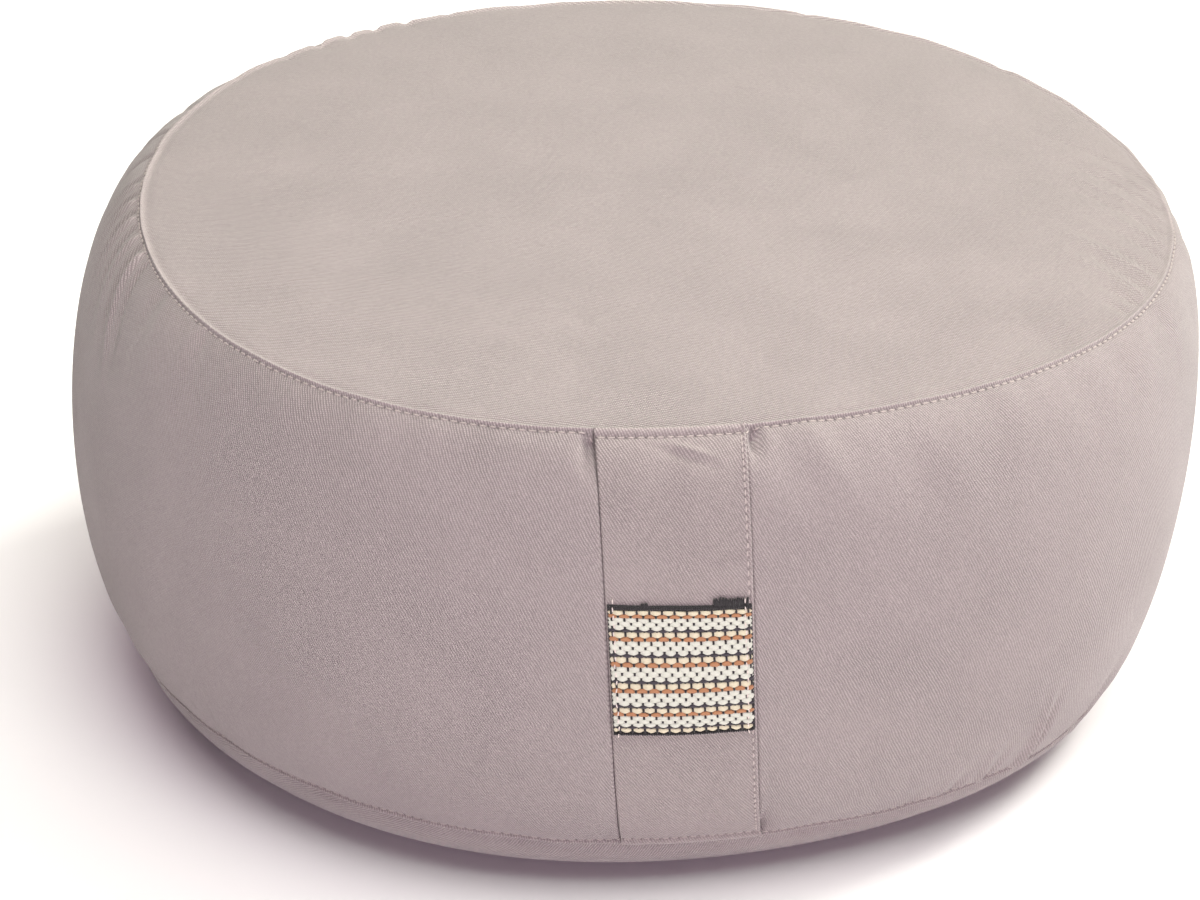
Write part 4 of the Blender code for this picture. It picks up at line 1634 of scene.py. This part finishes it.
REPEAT = (
    Yarn("cream", 1.90, 0.96, to_next=1.50, wave=0.30, sway=0.0),
    Yarn("orange", 1.50, 0.80, to_next=1.20, wave=0.14, sway=0.24),
    Yarn("white", 1.80, 1.00, to_next=1.30, wave=0.27, sway=0.0),
    Yarn("white", 2.00, 1.00, to_next=1.32, wave=0.22, sway=0.0),
    Yarn("white", 1.80, 0.96, to_next=0.97, wave=0.27, sway=0.0),
    Yarn("dark", 1.10, 0.66, to_next=1.31, wave=0.20, sway=0.0),
)
REPEATS = 5
ROWS = [REPEAT[number % len(REPEAT)] for number in range(REPEATS * len(REPEAT) + 1)]
ROW_RUN = np.concatenate([[0.0], np.cumsum([yarn.to_next for yarn in ROWS[:-1]])])
FIRST_ROW = 1.95            # down from the tape's top edge
LAST_ROW = 39.2
ROW_SQUEEZE = 0.11          # how much the first and last rows are pressed together
THREAD_PITCH = 1.672
THREADS = 23
COLUMN_DRIFT = 0.85         # how far the columns lean to the right on their way down
TAPE_LENGTH = 41.0
TAPE_WIDTH = 38.9
TAPE_MIDDLE = -0.2          # to the right of the strap's middle
TAPE_TOP = (0.6003, -0.0037)    # place at the tape's middle, and its change to the right edge
TAPE_BOTTOM = (0.3582, -0.0021)
TAPE_SAG = 0.0016
MM = 0.001


def tape_place(down, right):
    """The place up the side for a distance down the tape and to the right of its middle."""
    share = down / TAPE_LENGTH
    aside = right / (TAPE_WIDTH / 2)
    top = TAPE_TOP[0] + TAPE_TOP[1] * aside
    bottom = TAPE_BOTTOM[0] + TAPE_BOTTOM[1] * aside
    sag = TAPE_SAG * np.cos((aside + 0.25) * math.pi / 2) * (0.3 + 0.7 * share)
    return top + (bottom - top) * share - sag


def tape_point(down, right, lift):
    """A point on the tape, in millimetres down and to the right, lifted off the strap."""
    return strap_point(tape_place(down, right), (right + TAPE_MIDDLE) * MM, lift * MM)


def tape_frames(down, right, lift):
    """Points on the tape with the ways to the right, upwards and out of its face."""
    level = unit(tape_point(down, right + 0.4, lift) - tape_point(down, right - 0.4, lift))
    upward = unit(tape_point(down - 0.4, right, lift) - tape_point(down + 0.4, right, lift))
    return tape_point(down, right, lift), level, upward, unit(np.cross(level, upward))


# %% The yarns' materials
YARN_COLOURS = {
    "cream": (0.64, 0.59, 0.43, 1.0),
    "white": (0.60, 0.62, 0.54, 1.0),
    "orange": (0.40, 0.185, 0.085, 1.0),
    "dark": (0.032, 0.026, 0.036, 1.0),
}
# Near black: the real dark threads and whipped ends, and the sheet under the yarns, which paints the
# shade in the gaps between them.
DARK_YARN_AND_GAP_SHADE = (0.012, 0.010, 0.012, 1.0)

yarn_looks = {name: thread_material(name + "_yarn", colour)
              for name, colour in YARN_COLOURS.items()}
dark_yarn_and_gap_shade_look = thread_material("dark_yarn_and_gap_shade", DARK_YARN_AND_GAP_SHADE)

# %% Where the rows and the threads lie
WEAVE_HEIGHT = 0.82         # the weave's middle above the strap
THREAD_WAVE = 0.38          # how far a dark thread rises and dips
THREAD_HALF_WIDE = 0.31
THREAD_HALF_THICK = 0.22
PINCH = 0.9                 # the length over which a yarn closes at its end
PINCH_DIP = 0.35            # and how far a row's ends dip
ROW_WAVERS = ((0.09, 0.31), (0.05, 0.83))   # how far a row wavers, and how fast, twice over
THICK_WAVER = (0.06, 2.1)   # and how much and how fast its thickness changes
GAP_SHADE_LIFT = 0.42
GAP_SHADE_THICK = 0.34

row_phases = chance.uniform(0.0, 2 * math.pi, (len(ROWS), 3))


def row_down(number):
    """How far down the tape a row lies."""
    share = 2.0 * ROW_RUN[number] / ROW_RUN[-1] - 1.0
    share = share * (1.0 + ROW_SQUEEZE) - ROW_SQUEEZE * share ** 3
    return (FIRST_ROW + LAST_ROW) / 2 + (LAST_ROW - FIRST_ROW) / 2 * share


def row_spread(number):
    """How far apart the rows are at a row, beside the chart."""
    share = 2.0 * ROW_RUN[number] / ROW_RUN[-1] - 1.0
    return 1.0 + ROW_SQUEEZE - 3.0 * ROW_SQUEEZE * share ** 2


def column_shift(down):
    """How far the columns have leaned to the right at a distance down."""
    return COLUMN_DRIFT * (down / TAPE_LENGTH - 0.12)


def pinched(distance):
    """0 at a yarn's end and 1 from a short way along it, in a rounded step."""
    return np.sqrt(np.clip(1.0 - (1.0 - np.clip(distance / PINCH, 0.0, 1.0)) ** 2, 0.0, 1.0))


def row_yarn(number, share, turn):
    """A point of a row's yarn, at a share of its length and an angle round it."""
    right = (share - 0.5) * TAPE_WIDTH
    down = row_down(number)
    phase = row_phases[number]
    rise = np.cos(math.pi * (right - column_shift(down)) / THREAD_PITCH)
    rise = rise * np.where(number % 2, -1.0, 1.0)
    wide, thick, _, wave, sway = np.array([yarn[1:] for yarn in ROWS])[number].T
    for column, (height, speed) in enumerate(ROW_WAVERS):
        down = down + height * np.sin(speed * right + phase[:, column])
    down = down - sway * rise
    wide = wide * row_spread(number) * (0.91 + 0.09 * rise)
    thick = thick * (1.0 + THICK_WAVER[0] * np.sin(THICK_WAVER[1] * right + phase[:, 2]))
    closed = pinched((1.0 - np.abs(2.0 * share - 1.0)) * TAPE_WIDTH / 2)
    lift = WEAVE_HEIGHT + wave * rise - PINCH_DIP * (1.0 - closed)
    return tape_point(down + wide / 2 * np.cos(turn) * closed, right,
                      lift + thick / 2 * np.sin(turn) * closed)


def dark_thread(number, share, turn):
    """A point of a thread that runs down the tape, over the rows where they dip."""
    down = 1.0 + share * (TAPE_LENGTH - 1.8)
    steps = number - THREADS // 2
    row = np.interp(down, row_down(np.arange(len(ROWS))), np.arange(len(ROWS)))
    rise = -np.cos(math.pi * (steps + row))
    closed = pinched((1.0 - np.abs(2.0 * share - 1.0)) * TAPE_LENGTH / 2)
    lift = WEAVE_HEIGHT + THREAD_WAVE * rise + THREAD_HALF_THICK * np.sin(turn) * closed
    right = steps * THREAD_PITCH + column_shift(down) + THREAD_HALF_WIDE * np.cos(turn) * closed
    return tape_point(down, right, lift)


# %% Weaving the tape
def lay_yarns(name, numbers, steps, sides, where, look):
    """Several yarns as one mesh, each a flat grid that is rolled up and laid on its line."""
    shape = bmesh.new()
    for number in numbers:
        bmesh.ops.create_grid(shape, x_segments=steps, y_segments=sides, size=0.5,
                              matrix=Matrix.Translation((0.0, 0.0, number)))
    flat = np.array([vert.co[:] for vert in shape.verts])
    which = np.round(flat[:, 2]).astype(int)
    points = where(which, flat[:, 0] + 0.5, (flat[:, 1] + 0.5) * 2 * math.pi)
    for vert, point in zip(shape.verts, points):
        vert.co = point
    bmesh.ops.remove_doubles(shape, verts=shape.verts[:], dist=1e-6)
    bmesh.ops.recalc_face_normals(shape, faces=shape.faces[:])
    return finish_piece(shape, name, look)


def gap_shade_sheet_move(across, up):
    """Where the grid of the dark sheet under the yarns goes; it paints the shade in the gaps between
    them.
    """
    down = (1.0 - up) * TAPE_LENGTH
    return tape_point(down, (across - 0.5) * TAPE_WIDTH, GAP_SHADE_LIFT)


def gap_shade_sheet_cloth(across, up):
    """The dark sheet's cloth map in metres."""
    return np.stack([across * TAPE_WIDTH * MM, up * TAPE_LENGTH * MM], axis=1)


# A dark sheet under the yarns paints the shade in the gaps between them.
tape_gap_shade_sheet = lay_sheet("tape_gap_shade_sheet", 48, 50, gap_shade_sheet_move, gap_shade_sheet_cloth,
                        GAP_SHADE_THICK * MM, dark_yarn_and_gap_shade_look)
woven = [lay_yarns("dark_threads", range(THREADS), 124, 6, dark_thread, dark_yarn_and_gap_shade_look)]
for name in YARN_COLOURS:
    numbers = [number for number, yarn in enumerate(ROWS) if yarn.name == name]
    woven.append(lay_yarns(name + "_rows", numbers, 104, 8, row_yarn, yarn_looks[name]))

# %% [markdown]
# The tape's two cut ends are whipped with dark yarn: turn beside turn, like a cord wound
# round the edge. At the top right the end of the tape stands out as a tuft of dark ends.

# %% The whipped ends and the tuft
WHIP_PITCH = 0.62           # all of these in millimetres, as in the chart
WHIP_LIFT = 0.8             # from the strap to the whipping's middle
WHIP_WIDTH = WHIP_PITCH * 1.25
WHIP_THICK = 1.1
TUFT_PITCH = 0.5
TUFT_LIFT = 0.75
TUFT_HIDDEN = 0.9           # the part of a tuft's end that is under the whipping
TUFT_WIDTH = 0.75
TUFT_THICK = 0.8


def whipped_edge(down, tall):
    """Turns of dark yarn side by side along one end."""
    count = int(TAPE_WIDTH / WHIP_PITCH)
    right = (np.arange(count) + 0.5) * TAPE_WIDTH / count - TAPE_WIDTH / 2
    place = down + chance.normal(0.0, 0.06, count)
    middle, level, upward, facing = tape_frames(place, right, WHIP_LIFT)
    return lay_beads(middle, upward, facing, tall * MM, WHIP_WIDTH * MM, WHIP_THICK * MM)


def tuft(right_from, right_to, height):
    """Short dark yarn ends that stand up from the tape's top edge."""
    right = np.arange(right_from, right_to, TUFT_PITCH)
    count = len(right)
    tall = height * (1.0 + chance.normal(0.0, 0.12, count))
    lift = TUFT_LIFT + chance.normal(0.0, 0.08, count)
    middle, level, upward, facing = tape_frames(0.4 - tall / 2, right, lift)
    along = upward + level * chance.normal(0.0, 0.12, count)[:, None]
    return lay_beads(middle, along, facing, (tall + TUFT_HIDDEN) * MM,
                     TUFT_WIDTH * MM, TUFT_THICK * MM)


dark_ends = join_beads(whipped_edge(0.6, 1.25), whipped_edge(TAPE_LENGTH - 0.35, 1.0),
                       tuft(9.2, 18.4, 2.2), tuft(-10.4, -8.8, 0.9))
tape_ends = string_beads("whipped_ends", dark_ends, dark_yarn_and_gap_shade_look, 6, 6)

# %% The thread that sews the tape on
PALE_THREAD = (0.70, 0.62, 0.58, 1.0)
LEFT_MARGIN = -18.0
RIGHT_MARGIN = 17.5
MARGIN_START = -1.6         # down from the tape's top edge
MARGIN_PITCH = 2.5
MARGIN_LIFT = 1.42
MARGIN_STITCH = (1.5, 0.42, 0.42)   # how long, wide and thick
pale_thread = thread_material("pale_thread", PALE_THREAD)


def sewn_margin(aside):
    """A line of pale stitches down one margin of the tape."""
    down = np.arange(MARGIN_START, TAPE_LENGTH, MARGIN_PITCH)
    count = len(down)
    right = aside + chance.normal(0.0, 0.1, count)
    middle, level, upward, facing = tape_frames(down, right, MARGIN_LIFT)
    along = upward + level * chance.normal(0.0, 0.15, count)[:, None]
    return lay_beads(middle, along, facing, *(size * MM for size in MARGIN_STITCH))


margins = join_beads(sewn_margin(LEFT_MARGIN), sewn_margin(RIGHT_MARGIN))
tape_stitches = string_beads("tape_stitches", margins, pale_thread, 6, 6)

# %% [markdown]
# ## Floor and light
#
# The cushion stands on a plain white floor in soft studio light: the key light behind it on
# the right, a wide light and a small one above it, and two in front, one of them low down,
# which fill the shadow. The surroundings are nearly dark.

# %% Floor and light
def make_floor():
    """A wide pale floor, which isn't part of the cushion."""
    shape = bmesh.new()
    bmesh.ops.create_grid(shape, x_segments=1, y_segments=1, size=6.0)
    look = new_look("pale_floor", Base_Color=(0.96, 0.955, 0.96, 1.0), Roughness=0.9,
                    Specular_IOR_Level=0.1)[0]
    floor = finish_piece(shape, "floor", look, smooth=False)


def soft_light(name, place, size, power, colour):
    """A square area light that faces the cushion."""
    lamp = bpy.data.lights.new(name, "AREA")
    lamp.size = size
    lamp.energy = power
    lamp.color = colour
    made = bpy.data.objects.new(name, lamp)
    made.location = place
    made.rotation_euler = (LOOK_AT - Vector(place)).to_track_quat("-Z", "Y").to_euler()
    bpy.context.scene.collection.objects.link(made)


make_floor()
soft_light("key", (1.8, 1.0, 1.8), 0.9, 69.0, (1.0, 0.99, 0.91))
soft_light("wide_above", (0.0, 0.0, 2.6), 3.0, 55.0, (1.0, 0.77, 0.86))
soft_light("front_above", (0.2, -1.0, 2.2), 1.4, 33.0, (0.93, 1.0, 0.93))
soft_light("overhead", (0.25, 0.25, 2.3), 1.6, 10.0, (0.55, 1.0, 0.42))
soft_light("front_low", (0.5, -2.3, 0.5), 1.2, 23.0, (1.0, 0.74, 0.93))
world = bpy.data.worlds.new("studio")
world.use_nodes = True
surroundings = world.node_tree.nodes["Background"].inputs
surroundings["Color"].default_value = (1.0, 0.9, 0.95, 1.0)
surroundings["Strength"].default_value = 0.02
bpy.context.scene.world = world
bpy.context.scene.view_settings.view_transform = "Standard"

# %% [markdown]
# ## Handing the pieces over
#
# Every piece rides on the frame's one body.
# The cover stands for the plain cushion, the strap and the tape for theirs.

for piece in [cover, *seam_stitches]:
    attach(piece, "root")
for piece in (strap, strap_stitches):
    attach(piece, "root")
for piece in [tape_gap_shade_sheet, tape_ends, tape_stitches, *woven]:
    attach(piece, "root")

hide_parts("cushion")
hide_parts("strap")
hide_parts("woven_band")
